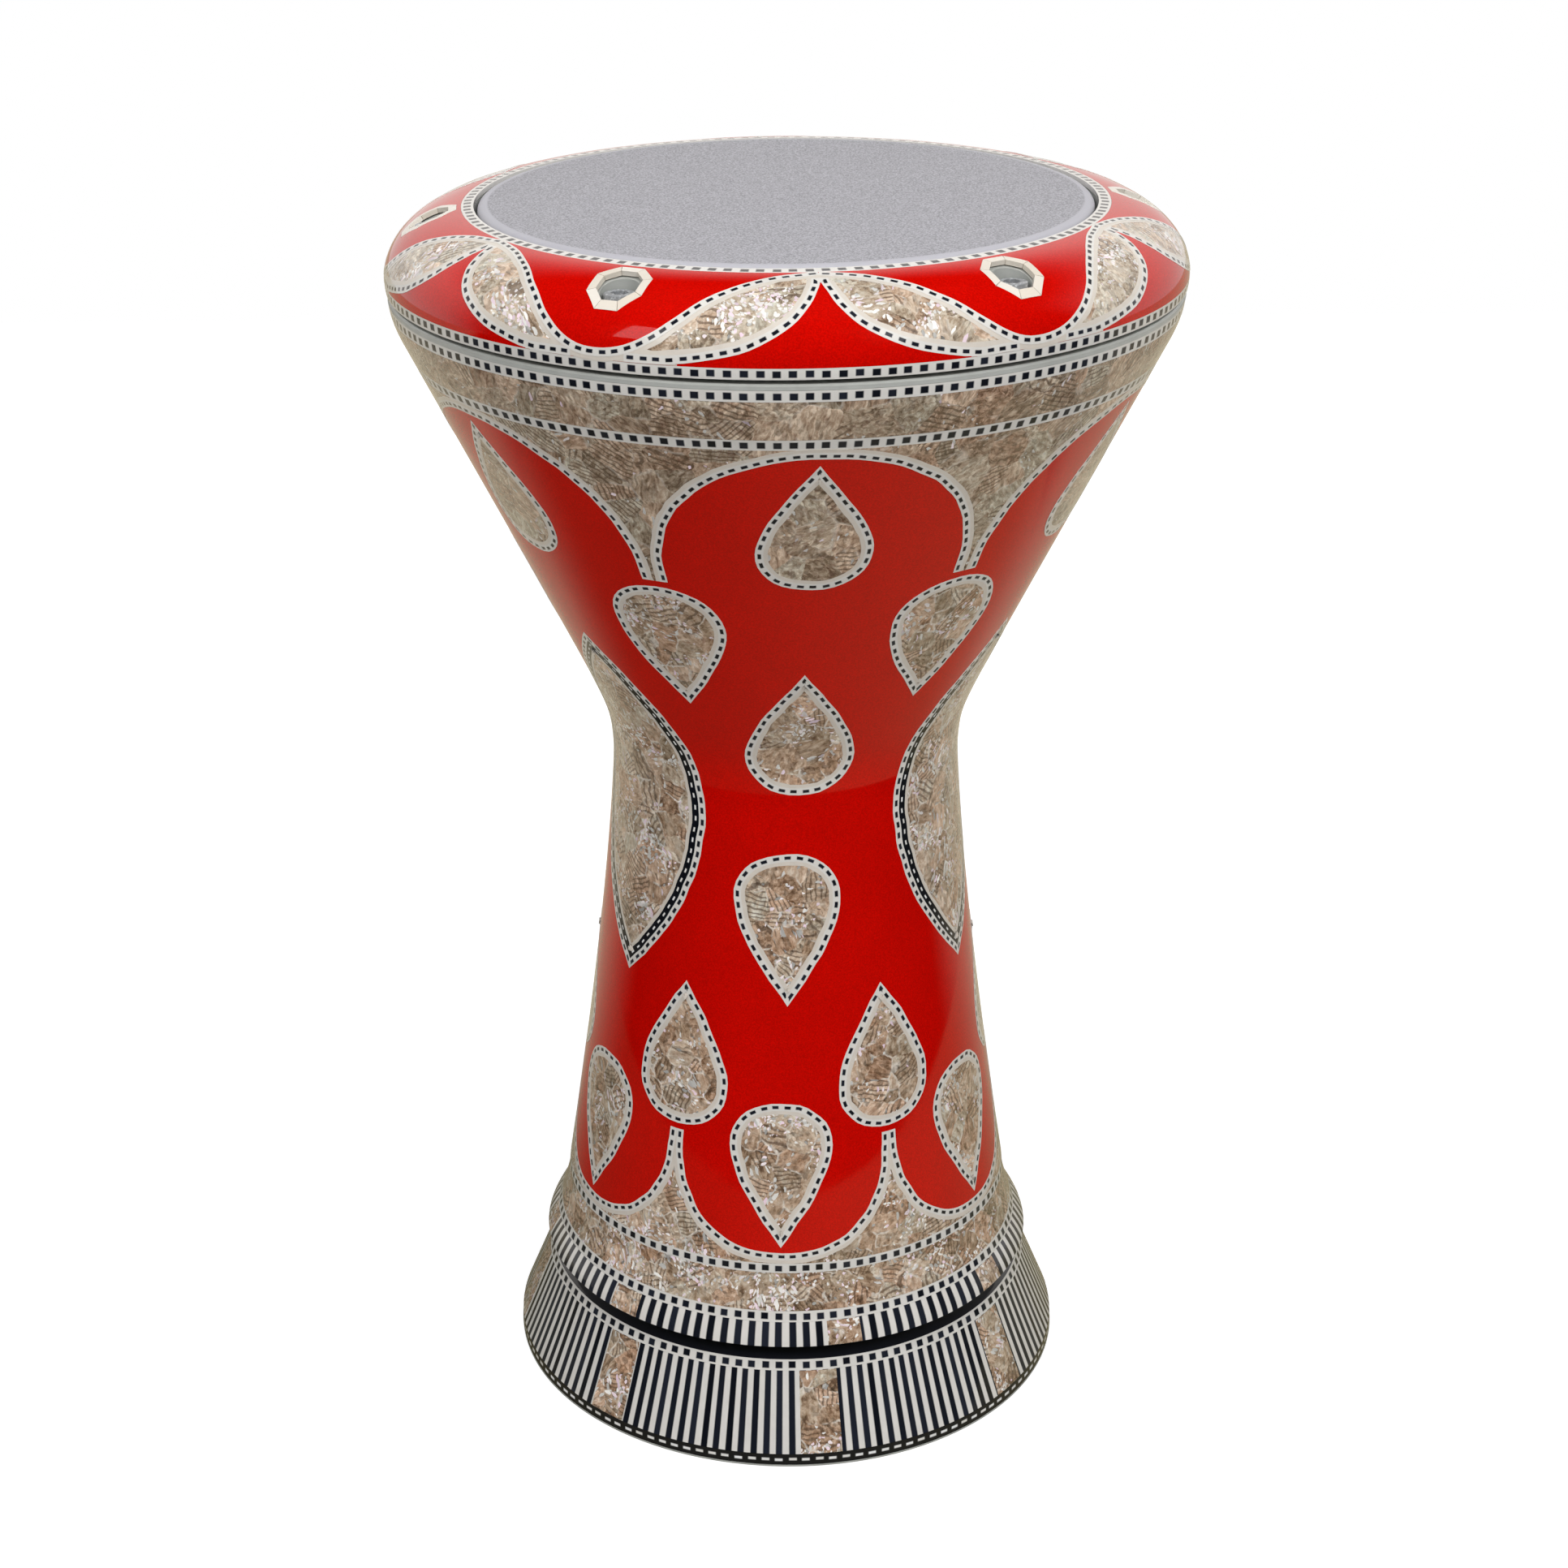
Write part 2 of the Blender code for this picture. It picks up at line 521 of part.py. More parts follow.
def build_ring(materials, parent):
    wall = INLAY_DEPTH + RING_WALL
    rim_outer = RING_INNER + RIM_WIDTH
    angles = spread(CREST_ANGLE - 1.0, 0.0, 7)
    section = [(RING_INNER, ring_point(CREST_ANGLE, INLAY_DEPTH)[1])]
    section += [ring_point(angle, INLAY_DEPTH) for angle in angles]
    section.append((ring_point(SKIRT_ANGLE, INLAY_DEPTH)[0], RING_BOTTOM))
    section.append((ring_point(SKIRT_ANGLE, wall)[0], RING_BOTTOM))
    inner_angles = [angle for angle in spread(0.0, 80.0, 5) if ring_point(angle, wall)[0] > rim_outer + 1]
    section += [ring_point(angle, wall) for angle in inner_angles]
    reach = RING_REACH - wall
    rise = (HEIGHT - RING_CREST_DROP - RING_AXIS_HEIGHT) - wall
    share = (rim_outer - RING_AXIS_RADIUS) / reach
    section.append((rim_outer, RING_AXIS_HEIGHT + rise * sqrt(1.0 - share * share)))
    section.append((rim_outer, HOOP_TOP + PLAY))
    section.append((RING_INNER, HOOP_TOP + PLAY))
    ring = revolve("tuning_ring", section, materials["aluminium"], parent)

    def bosses(bm):
        for azimuth in bolt_azimuths():
            centre = polar(azimuth, BOLT_CIRCLE, 0)
            bottom, top = prism(bm, centre, RING_BOSS_BOTTOM, RING_BOSS_BOTTOM + 5, RING_BOSS_RADIUS,
                                HOLE_STEPS)
            for vertex in top:
                radius = hypot(vertex.co.x, vertex.co.y) / MM
                angle = ring_angle(radius=radius + 2.0)
                vertex.co.z = ring_point(angle, INLAY_DEPTH + RING_WALL * 0.6)[1] * MM
            lid = [face for face in bm.faces if all(vertex in face.verts for vertex in top)]
            bmesh.ops.poke(bm, faces=lid)

    def pockets(bm):
        for azimuth in bolt_azimuths():
            centre = polar(azimuth, BOLT_CIRCLE, 0)
            prism(bm, centre, POCKET_FLOOR, HEIGHT + 10, POCKET_RADIUS, HOLE_STEPS)

    def clearances(bm):
        for azimuth in bolt_azimuths():
            centre = polar(azimuth, BOLT_CIRCLE, 0)
            prism(bm, centre, RING_BOSS_BOTTOM - 5, POCKET_FLOOR + 1, BOLT_CLEAR, HOLE_STEPS)

    boolean(ring, cutter("cut_ring_bosses", bosses), "UNION")
    boolean(ring, cutter("cut_ring_pockets", pockets), "DIFFERENCE")
    boolean(ring, cutter("cut_ring_clearances", clearances), "DIFFERENCE")

    deep = INLAY_DEPTH - PLAY
    ring_skin("ring_inner_border", [CREST_ANGLE, BORDER_ANGLE + 0.3], 0.0, deep, materials["ivory"], parent)
    ground_angles = spread(BORDER_ANGLE - 0.3, BAND_ANGLE + 0.4, 7)
    ground = ring_skin("ring_resin_ground", ground_angles, GROUND_DROP, deep, materials["red"], parent)
    band_angles = [BAND_ANGLE - 0.4, 0.5 * (BAND_ANGLE + SKIRT_ANGLE), SKIRT_ANGLE]
    ring_skin("ring_lower_border", band_angles, 0.0, deep, materials["ivory"], parent)

    def windows(bm):
        for azimuth in bolt_azimuths():
            centre = polar(azimuth, BOLT_CIRCLE, 0)
            turn = radians(azimuth - 90.0 + 22.5)
            prism(bm, centre, RING_BOTTOM, HEIGHT + 10, WINDOW_OUTER + PLAY, 8, turn)

    boolean(ground, cutter("cut_window_seats", windows), "DIFFERENCE")

    for index, azimuth in enumerate(bolt_azimuths()):
        build_window(f"window_frame_{index + 1}", azimuth, materials["ivory"], parent)
    hoop_bottom = HOOP_TOP - HOOP_HEIGHT
    revolve("flesh_hoop", [(HOOP_OUTER, HOOP_TOP), (HOOP_OUTER, hoop_bottom), (HOOP_INNER, hoop_bottom),
                           (HOOP_INNER, HOOP_TOP)], materials["aluminium"], parent)
    return ring


def build_window(name, azimuth, material, parent):
    """Octagonal frame that follows the dome, round one bolt pocket."""
    mesh = bpy.data.meshes.new(name)
    bm = bmesh.new()
    centre = polar(azimuth, BOLT_CIRCLE, 0)
    loops = []
    for radius, depth in ((WINDOW_OUTER, 0.0), (WINDOW_INNER, 0.0), (WINDOW_INNER, INLAY_DEPTH - 2 * PLAY),
                          (WINDOW_OUTER, INLAY_DEPTH - 2 * PLAY)):
        loop = []
        for side in range(8):
            turn = radians(azimuth - 90.0 + 22.5) + 2 * pi * side / 8
            x = centre[0] + radius * MM * cos(turn)
            y = centre[1] + radius * MM * sin(turn)
            angle = ring_angle(radius=min(hypot(x, y) / MM, RING_AXIS_RADIUS + RING_REACH - 0.2))
            height = ring_point(angle, 0.0)[1] - depth / max(0.35, sin(radians(angle)))
            loop.append(bm.verts.new((x, y, height * MM)))
        loops.append(loop)
    for index in range(4):
        near, far = loops[index], loops[(index + 1) % 4]
        for side in range(8):
            after = (side + 1) % 8
            bm.faces.new((near[side], near[after], far[after], far[side]))
    bmesh.ops.recalc_face_normals(bm, faces=bm.faces)
    bm.to_mesh(mesh)
    bm.free()
    return finish(bpy.data.objects.new(name, mesh), material, parent)


def scallop_edge(share):
    """Border of the red field round a bolt window: degrees from the window, ring angle share."""
    return bezier((29.2, 0.0), (12.0, 0.10), (10.5, 0.91), (0.0, 0.91), share)


def build_ring_pearl(material, parent):
    """Two pearl petals to a sextant, one each side of the screw, as curved plates."""
    top, bottom = BORDER_ANGLE - 1.5, BAND_ANGLE + 1.2

    def place_from(azimuth):
        def place(along, across, depth):
            radius, height = ring_point(top + (bottom - top) * along, depth)
            return polar(azimuth + across, radius, height)
        return place

    for index, azimuth in enumerate(motif_azimuths()):
        for side, label in ((-1, "left"), (1, "right")):
            rows = []
            for share in (0.12, 0.25, 0.40, 0.55, 0.68, 0.79, 0.88, 0.97):
                outer = 30.0
                for step in spread(0.0, 1.0, 60):
                    degrees, along = scallop_edge(step)
                    if along <= share:
                        outer = 30.0 - degrees
                inner = 0.8 + 1.4 * share + 17.0 * share ** 7
                outer = min(outer, 29.2) - 0.6
                inner = min(inner, outer - 0.5)
                pair = sorted((side * inner, side * outer))
                rows.append((share, *pair))
            plate(f"ring_petal_{label}_{index + 1}", rows, 4, place_from(azimuth), material, parent)


# Head and screws

def build_film(material):
    under = HEIGHT - FILM_THICK
    bend = EDGE_ROUND + FILM_GAP
    outer_bend = bend + FILM_THICK
    middle = FILM_OUTER - outer_bend
    level = HEIGHT - outer_bend
    turns = spread(0.0, pi / 2, 4)
    section = [(0.0, HEIGHT)]
    section += [(middle + outer_bend * sin(turn), level + outer_bend * cos(turn)) for turn in turns]
    section.append((middle + outer_bend, FILM_SKIRT_END))
    section.append((middle + bend, FILM_SKIRT_END))
    section += [(middle + bend * sin(turn), level + bend * cos(turn)) for turn in reversed(turns)]
    section.append((0.0, under))
    return revolve("drumhead_film", section, material)


def build_bolts(material, parent):
    seat = POCKET_FLOOR + BOLT_SEAT_GAP
    section = [(0.0, HEAD_HEIGHT), (HEAD_RADIUS - 0.5, HEAD_HEIGHT), (HEAD_RADIUS, HEAD_HEIGHT - 0.5),
               (HEAD_RADIUS, 0.0), (BOLT_SHANK, 0.0), (BOLT_SHANK, 1.0 - BOLT_LENGTH),
               (BOLT_SHANK - 0.8, -BOLT_LENGTH), (0.0, -BOLT_LENGTH)]

    for index, azimuth in enumerate(bolt_azimuths()):
        centre = polar(azimuth, BOLT_CIRCLE, seat)

        def socket(bm):
            prism(bm, centre, seat + HEAD_HEIGHT - SOCKET_DEPTH, seat + HEAD_HEIGHT + 2,
                  SOCKET_ACROSS / sqrt(3.0), 6)

        bolt = revolve(f"tuning_bolt_{index + 1}", section, material, parent, centre, HOLE_STEPS)
        boolean(bolt, cutter(f"cut_socket_{index + 1}", socket), "DIFFERENCE")


def main():
    for obj in list(bpy.data.objects):
        bpy.data.objects.remove(obj, do_unlink=True)
    materials = {
        "aluminium": new_material("Cast aluminium", ALUMINIUM, 0.40, 1.0),
        "steel": new_material("Blackened steel", STEEL, 0.35, 1.0),
        "red": new_material("Red resin", RED, 0.12),
        "pearl": new_material("Mother of pearl", PEARL, 0.18),
        "ivory": new_material("Ivory resin", IVORY, 0.2),
        "black": new_material("Black resin", BLACK, 0.2),
        "film": new_material("Polyester film", FILM, 0.45),
    }
    carrier = bpy.data.objects.new("ring_carrier", None)
    bpy.context.scene.collection.objects.link(carrier)
    carrier.empty_display_size = 0.05
    build_shell(materials["aluminium"])
    build_shell_inlay(materials)
    build_shell_pearl(materials["pearl"])
    build_film(materials["film"])
    build_ring(materials, carrier)
    build_ring_pearl(materials["pearl"], carrier)
    build_bolts(materials["steel"], carrier)


main()
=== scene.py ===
"""Looks of the goblet drum: lacquered red resin, pearl mosaic, tile borders, tuning ring and head.

Sizes along a face are in millimetres and azimuths in degrees, 0 being the front at -Y and 90 at +X.
Everything is turned to metres where a vertex gets its place.
"""

from math import asin, atan2, cos, hypot, pi, radians, sin, sqrt

import bpy
from bpy.props import FloatProperty, FloatVectorProperty, IntProperty, PointerProperty
from mathutils import Matrix, Vector, noise


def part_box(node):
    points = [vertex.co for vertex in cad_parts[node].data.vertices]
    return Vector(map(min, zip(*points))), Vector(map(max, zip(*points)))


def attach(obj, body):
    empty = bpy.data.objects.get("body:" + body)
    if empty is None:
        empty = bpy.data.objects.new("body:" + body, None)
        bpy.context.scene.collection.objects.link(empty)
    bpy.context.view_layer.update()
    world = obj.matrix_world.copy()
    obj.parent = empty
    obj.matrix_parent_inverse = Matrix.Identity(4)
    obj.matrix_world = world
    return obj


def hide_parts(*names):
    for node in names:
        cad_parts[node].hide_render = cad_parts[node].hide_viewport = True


bl_info = {
    "name": "Goblet drum dress",
    "version": (1, 0, 0),
    "blender": (4, 5, 0),
    "location": "View3D > Sidebar > Drum",
    "description": "Dresses the goblet drum's frame with its inlay, lacquer, head and studio",
    "category": "Object",
}

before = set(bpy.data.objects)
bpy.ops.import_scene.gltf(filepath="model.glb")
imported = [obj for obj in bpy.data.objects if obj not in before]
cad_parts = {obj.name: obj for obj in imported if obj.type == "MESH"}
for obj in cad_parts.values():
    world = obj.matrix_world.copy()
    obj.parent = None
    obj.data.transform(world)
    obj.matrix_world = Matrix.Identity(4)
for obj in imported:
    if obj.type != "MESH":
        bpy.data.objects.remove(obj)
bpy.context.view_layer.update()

MM = 0.001
REPEATS = 6
HALF_STEP = 180.0 / REPEATS
MOTIF_AZIMUTH = 5.3         # of the ring's motif next to the front
SCREW_AZIMUTH = MOTIF_AZIMUTH - HALF_STEP

# Lifts of the inlay's layers over the finished face, and depths under it, in millimetres
PEARL_LIFT = 0.05
FILLER_LIFT = 0.08
STRIP_LIFT = 0.11
PLATE_THICK = 0.6
SKIN_DEPTH = 1.7
CAST_DEPTH = 2.05
SEAM = 0.03                 # left open at each end of a band

WHITE = (1.0, 1.0, 1.0, 1.0)
BLACK = (0.0, 0.0, 0.0, 1.0)

# Hand-laid edges, in millimetres
STRIP_WOBBLE = 0.55         # how far strips stray
FILLER_RAG = 0.45           # how far the filler's edge on the pearl frays
FILLER_TUCK = 0.1           # how far the filler reaches under its strip
STRIP_OUTSET = 0.6          # how far a motif's strip reaches out over its outline


def linear(code):
    """Linear colour of an sRGB hex code."""
    parts = [int(code[at:at + 2], 16) / 255 for at in (1, 3, 5)]
    return tuple(part / 12.92 if part <= 0.04045 else ((part + 0.055) / 1.055) ** 2.4 for part in parts)


def box_size(node, axis, end):
    """One coordinate of a CAD node's box, in millimetres."""
    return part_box(node)[end][axis] / MM


def colour(name, code, description):
    return FloatVectorProperty(name=name, description=description, subtype="COLOR", size=3, min=0.0,
                               max=1.0, default=linear(code))


def number(name, default, description, **options):
    return FloatProperty(name=name, description=description, default=default, **options)


def length(name, default, description):
    """A length property, kept in millimetres."""
    return number(name, default, description + ", in mm", min=0.0)


def angle(name, degrees, description):
    return number(name, radians(degrees), description, subtype="ANGLE")


class DrumSizes(bpy.types.PropertyGroup):
    """Sizes of the drum's faces and of its inlay."""
    height: length("Height", box_size("drumhead_film", 2, 1), "Floor to the head")
    bowl_radius: length("Bowl radius", 135.8, "Radius at the bowl's top")
    bowl_top: length("Bowl top", box_size("shell_casting", 2, 1) - 27.8, "Height of the bowl's top")
    neck_radius: length("Neck radius", 62.2, "Radius of the neck")
    neck_height: length("Neck height", 246.0, "Height of the neck")
    foot_radius: length("Foot radius", 105.0, "Radius on the floor")
    strip_width: length("Strip width", 2.7, "Width of the dashed strips round the motifs")
    strip_pitch: length("Strip pitch", 4.2, "Pitch of the dashes on those strips")
    filler_width: length("Filler width", 1.4, "Pale filler between strip and pearl")
    spin_steps: IntProperty(name="Turning steps", description="Facets round a turned piece",
                            default=288, min=48)


class DrumColours(bpy.types.PropertyGroup):
    """Colours of the drum's finishes."""
    red: colour("Red resin", "#D80A02", "Field of stem, bowl and ring")
    ivory: colour("Ivory", "#ECE9E3", "Ground of borders and stripes")
    tile: colour("Black tile", "#10131C", "Tiles of borders and strips")
    filler: colour("Filler", "#E8DFD3", "Paste between strips and pearl")
    aluminium: colour("Cast aluminium", "#CCCEC9", "Bare casting")
    steel: colour("Blackened steel", "#A3A5A8", "Screws")
    film: colour("Film", "#A3A2A8", "Drum head")
    cream: colour("Cream tile", "#F5EFE5", "Tiles round the screw windows")


class StageSettings(bpy.types.PropertyGroup):
    """Camera and light."""
    camera_place: FloatVectorProperty(name="Camera", description="Place of the camera", size=3,
                                      subtype="TRANSLATION", unit="LENGTH", default=(0.0, -0.9655, 0.6457))
    camera_pitch: angle("Pitch", 23.39, "How far the camera looks down")
    camera_yaw: angle("Yaw", -2.27, "Turn of the camera to the right")
    camera_roll: angle("Roll", -0.94, "Roll of the camera")
    camera_lens: number("Lens", 65.396, "Focal length in mm on a 36 mm sensor")
    camera_shift: number("Shift", 0.0653, "Sideways shift of the lens")
    fill_power: number("Left softbox", 14.5, "Power of the left front softbox in watts")
    key_power: number("Right softbox", 21.5, "Power of the right front softbox in watts")
    glint_power: number("Glint boxes", 1.9, "Power of the small boxes that gloss mirrors, in watts")
    top_power: number("Top light", 10.0, "Power of the overhead light in watts")
    ambient: number("Ambient", 0.145, "Strength of the sky on matt surfaces")
    table_gloss: number("Table in the gloss", 0.22, "Brightness in the lacquer of the table")
    sweep_gloss: number("Sweep in the gloss", 0.55, "Brightness in the lacquer of the table behind the drum")
    wall_gloss: number("Wall in the gloss", 0.9, "Brightness in the lacquer of the wall behind the drum")
    table_radius: number("Table radius", 0.47, "Reach of the white round table", unit="LENGTH")


# Faces of the drum

class ShellFace:
    """Finished face of foot, stem, neck and bowl. Along is a height."""

    foot_flare = 13.7
    foot_rim = 5.4
    rim_slope = 0.06
    foot_top = 37.6
    groove_depth = 5.0
    groove_height = 6.8
    lip_overhang = 2.0
    lip_band = 7.8
    lip_slope = 4.3
    lip_curve = 1.25        # powers of the curves of lip, base and stem
    base_curve = 1.6
    border = 3.8
    lower_pearl = 14.1
    stem_inset = 5.0
    neck_turn = 14.5
    neck_blend = 4.5
    stem_swell = 1.33
    bowl_round = 12.0
    upper_drop = 1.9
    upper_pearl = 13.5

    def __init__(self, sizes):
        self.foot_radius = sizes.foot_radius
        self.neck_radius = sizes.neck_radius
        self.neck_height = sizes.neck_height
        self.bowl_radius = sizes.bowl_radius
        self.bowl_top = sizes.bowl_top
        self.foot_top_radius = self.foot_radius - self.foot_flare
        self.lip_radius = self.foot_top_radius + self.lip_overhang
        self.lip_height = self.foot_top + self.groove_height
        self.lip_band_top = self.lip_height + self.lip_band
        self.lip_border_top = self.lip_band_top + self.border
        self.lower_pearl_top = self.lip_border_top + self.lower_pearl
        self.lower_border_top = self.lower_pearl_top + self.border
        self.stem_base = self.lower_pearl_top + self.border / 2
        self.slope_radius = self.lip_radius - self.lip_slope
        self.stem_radius = self.slope_radius - self.stem_inset
        rise = self.bowl_top - self.bowl_round / 2 - self.neck_height - self.neck_turn
        self.bowl_slope = (self.bowl_radius - self.neck_radius) / rise
        self.upper_border = (self.bowl_top - self.upper_drop - self.border, self.bowl_top - self.upper_drop)
        arch_top = self.upper_border[0] - self.upper_pearl
        self.arch_border = (arch_top - self.border, arch_top)

    def bowl(self, height):
        drop = self.bowl_top - min(height, self.bowl_top)
        if drop < self.bowl_round:
            return self.bowl_radius - self.bowl_slope * drop * drop / (2 * self.bowl_round)
        cone = self.bowl_radius - self.bowl_slope * (drop - self.bowl_round / 2) - self.neck_radius
        return self.neck_radius + 0.5 * (cone + sqrt(cone * cone + self.neck_blend ** 2))

    def radius(self, height):
        if height <= self.foot_rim:
            return self.foot_radius - self.rim_slope * height
        if height <= self.foot_top:
            share = (height - self.foot_rim) / (self.foot_top - self.foot_rim)
            start = self.foot_radius - self.rim_slope * self.foot_rim
            return start + (self.foot_top_radius - start) * share
        if height < self.lip_height:
            share = (height - self.foot_top) / (self.lip_height - self.foot_top)
            chord = self.foot_top_radius + (self.lip_radius - self.foot_top_radius) * share
            return chord - self.groove_depth * sin(pi * share)
        if height <= self.lip_band_top:
            share = (height - self.lip_height) / (self.lip_band_top - self.lip_height)
            return self.lip_radius + (self.slope_radius - self.lip_radius) * share ** self.lip_curve
        if height <= self.stem_base:
            share = (self.stem_base - height) / (self.stem_base - self.lip_band_top)
            return self.stem_radius + (self.slope_radius - self.stem_radius) * share ** self.base_curve
        if height <= self.neck_height:
            share = (self.neck_height - height) / (self.neck_height - self.stem_base)
            waist = self.bowl(self.neck_height)
            return waist + (self.stem_radius - waist) * share ** self.stem_swell
        return self.bowl(height)

    def slope(self, height):
        """Growth of the radius with height, bounded where the face has a step."""
        step, steepest = 0.05, 0.8
        slope = (self.radius(height + step) - self.radius(height - step)) / (2 * step)
        return max(-steepest, min(steepest, slope))

    def stretch(self, height):
        """Length on the face to a millimetre of height."""
        return hypot(1.0, self.slope(height))

    def section(self, height, lift):
        return (self.radius(height) + lift * self.stretch(height), height)

    def along(self, radius, height):
        return height


class RingFace:
    """Finished face of the tuning ring. Along is the length from its inner edge down its section."""

    gap = 1.5
    film_play = 1.2
    rise_bottom = 3.4
    crest_drop = 0.3
    overhang = 0.8
    inner_play = 1.4
    band = 3.6
    table_step = 0.25       # degrees between the table's rows
    table_end = -9.0

    def __init__(self, sizes):
        self.inner = box_size("drumhead_film", 0, 1) + self.film_play
        self.bottom = sizes.bowl_top + self.gap
        self.centre = (self.inner - self.inner_play, self.bottom + self.rise_bottom)
        self.reach = sizes.bowl_radius + self.overhang - self.centre[0]
        self.rise = sizes.height - self.crest_drop - self.centre[1]
        self.bolt_circle = (self.inner + sizes.bowl_radius) / 2
        self.table = [(0.0, self.angle_at(self.inner))]
        angle = self.table[0][1]
        before = self.at(angle, 0.0)
        total = 0.0
        while angle > self.table_end:
            angle -= self.table_step
            point = self.at(angle, 0.0)
            total += hypot(point[0] - before[0], point[1] - before[1])
            self.table.append((total, angle))
            before = point
        self.skirt = self.along(*self.at(self.skirt_angle(self.bottom), 0.0))
        self.band_top = self.along(*self.at(self.skirt_angle(self.bottom + self.band), 0.0))

    def at(self, angle, lift):
        """Point of the section; angle 0 is the widest, 90 the crest."""
        turn = radians(angle)
        normal = Vector((cos(turn) / self.reach, sin(turn) / self.rise)).normalized()
        return (self.centre[0] + self.reach * cos(turn) + lift * normal[0],
                self.centre[1] + self.rise * sin(turn) + lift * normal[1])

    def angle_at(self, radius):
        return 90.0 - asin(min(1.0, (radius - self.centre[0]) / self.reach)) * 180 / pi

    def skirt_angle(self, height):
        return asin((height - self.centre[1]) / self.rise) * 180 / pi

    def angle(self, along):
        along = max(0.0, min(along, self.table[-1][0] - 1e-6))
        low, high = 0, len(self.table) - 1
        while high - low > 1:
            middle = (low + high) // 2
            if self.table[middle][0] > along:
                high = middle
            else:
                low = middle
        near, far = self.table[low], self.table[high]
        return near[1] + (far[1] - near[1]) * (along - near[0]) / (far[0] - near[0])

    def along(self, radius, height):
        """Length along the section of a point on or near it."""
        angle = atan2((height - self.centre[1]) / self.rise, (radius - self.centre[0]) / self.reach)
        angle = angle * 180 / pi
        place = (self.table[0][1] - angle) / self.table_step
        low = int(max(0, min(place, len(self.table) - 2)))
        return self.table[low][0] + (self.table[low + 1][0] - self.table[low][0]) * (place - low)

    def radius(self, along):
        return self.at(self.angle(along), 0.0)[0]

    def stretch(self, along):
        return 1.0

    def section(self, along, lift):
        return self.at(self.angle(along), lift)

    def height_over(self, radius, lift):
        return self.at(self.angle_at(radius), lift)[1]


def polar(azimuth, radius, height):
    turn = radians(azimuth)
    return Vector((radius * sin(turn), -radius * cos(turn), height)) * MM


def on_face(face, azimuth, along, lift):
    return polar(azimuth, *face.section(along, lift))


def spread(start, end, count):
    return [start + (end - start) * step / (count - 1) for step in range(count)]


def azimuths(shift, count=REPEATS):
    """Where a motif repeats round the drum."""
    return [shift + step * 360.0 / count for step in range(count)]


# Modelling

def select_only(*objects):
    if bpy.context.object and bpy.context.object.mode != "OBJECT":
        bpy.ops.object.mode_set(mode="OBJECT")
    bpy.ops.object.select_all(action="DESELECT")
    for obj in objects:
        obj.select_set(True)
    bpy.context.view_layer.objects.active = objects[-1] if objects else None


def edit_all(obj):
    select_only(obj)
    bpy.ops.object.mode_set(mode="EDIT")
    bpy.ops.mesh.select_all(action="SELECT")


def name_it(obj, name):
    obj.name = name
    obj.data.name = name
    return obj


def smooth(obj):
    select_only(obj)
    bpy.ops.object.shade_smooth_by_angle(angle=radians(35.0))


def turned(name, section, steps, centre=(0.0, 0.0)):
    """A closed section of (radius, height) spun round an upright axis."""
    select_only()
    bpy.ops.mesh.primitive_circle_add(vertices=len(section), radius=0.01)
    obj = name_it(bpy.context.object, name)
    for vertex, (radius, height) in zip(obj.data.vertices, section):
        vertex.co = Vector((centre[0], centre[1] - radius, height)) * MM
    edit_all(obj)
    bpy.ops.mesh.spin(steps=steps, angle=2 * pi, center=(centre[0] * MM, centre[1] * MM, 0.0),
                      axis=(0.0, 0.0, 1.0))
    bpy.ops.mesh.select_all(action="SELECT")
    bpy.ops.mesh.remove_doubles(threshold=0.002 * MM)
    bpy.ops.mesh.dissolve_degenerate(threshold=0.002 * MM)
    bpy.ops.mesh.select_all(action="SELECT")
    bpy.ops.mesh.delete_loose()
    bpy.ops.mesh.select_all(action="SELECT")
    bpy.ops.mesh.normals_make_consistent(inside=False)
    bpy.ops.object.mode_set(mode="OBJECT")
    smooth(obj)
    return obj


def grid(name, columns, rows):
    """A flat grid to be placed by place_grid."""
    select_only()
    bpy.ops.mesh.primitive_grid_add(x_subdivisions=columns, y_subdivisions=rows, size=1.0)
    return name_it(bpy.context.object, name)


def place_grid(obj, columns, rows, place, uv=None):
    """Moves each vertex to place(column, row), and gives it uv(column, row) where asked."""
    cells = []
    for vertex in obj.data.vertices:
        cell = (round((vertex.co.x + 0.5) * columns), round((vertex.co.y + 0.5) * rows))
        cells.append(cell)
        vertex.co = place(*cell)
    layer = obj.data.uv_layers[0]
    layer.name = "inlay"
    if uv is not None:
        for loop in obj.data.loops:
            layer.data[loop.index].uv = uv(*cells[loop.vertex_index])


def face_outwards(obj):
    """Turns the sheet's faces away from the drum's axis or, on top, upwards."""
    face = max(obj.data.polygons, key=lambda polygon: polygon.area)
    outward = Vector((face.center.x, face.center.y, 0.0)).normalized() + Vector((0.0, 0.0, 0.3))
    if face.normal.dot(outward) < 0:
        edit_all(obj)
        bpy.ops.mesh.flip_normals()
        bpy.ops.object.mode_set(mode="OBJECT")


def close_sheet(obj, thick=PLATE_THICK):
    """Merges the sheet's poles and seam, and thickens it into the drum."""
    edit_all(obj)
    bpy.ops.mesh.remove_doubles(threshold=0.02 * MM)
    bpy.ops.object.mode_set(mode="OBJECT")
    face_outwards(obj)
    select_only(obj)
    bpy.ops.object.modifier_add(type="SOLIDIFY")
    obj.modifiers[-1].thickness = thick * MM
    obj.modifiers[-1].offset = -1.0
    bpy.ops.object.modifier_apply(modifier=obj.modifiers[-1].name)
    smooth(obj)
    return obj


def cut(obj, tool, operation="DIFFERENCE"):
    """Boolean of obj with a helper, which is then removed."""
    select_only(obj)
    bpy.ops.object.modifier_add(type="BOOLEAN")
    step = obj.modifiers[-1]
    step.operation = operation
    step.solver = "EXACT"
    step.object = tool
    bpy.ops.object.modifier_apply(modifier=step.name)
    select_only(tool)
    bpy.ops.object.delete()
    smooth(obj)


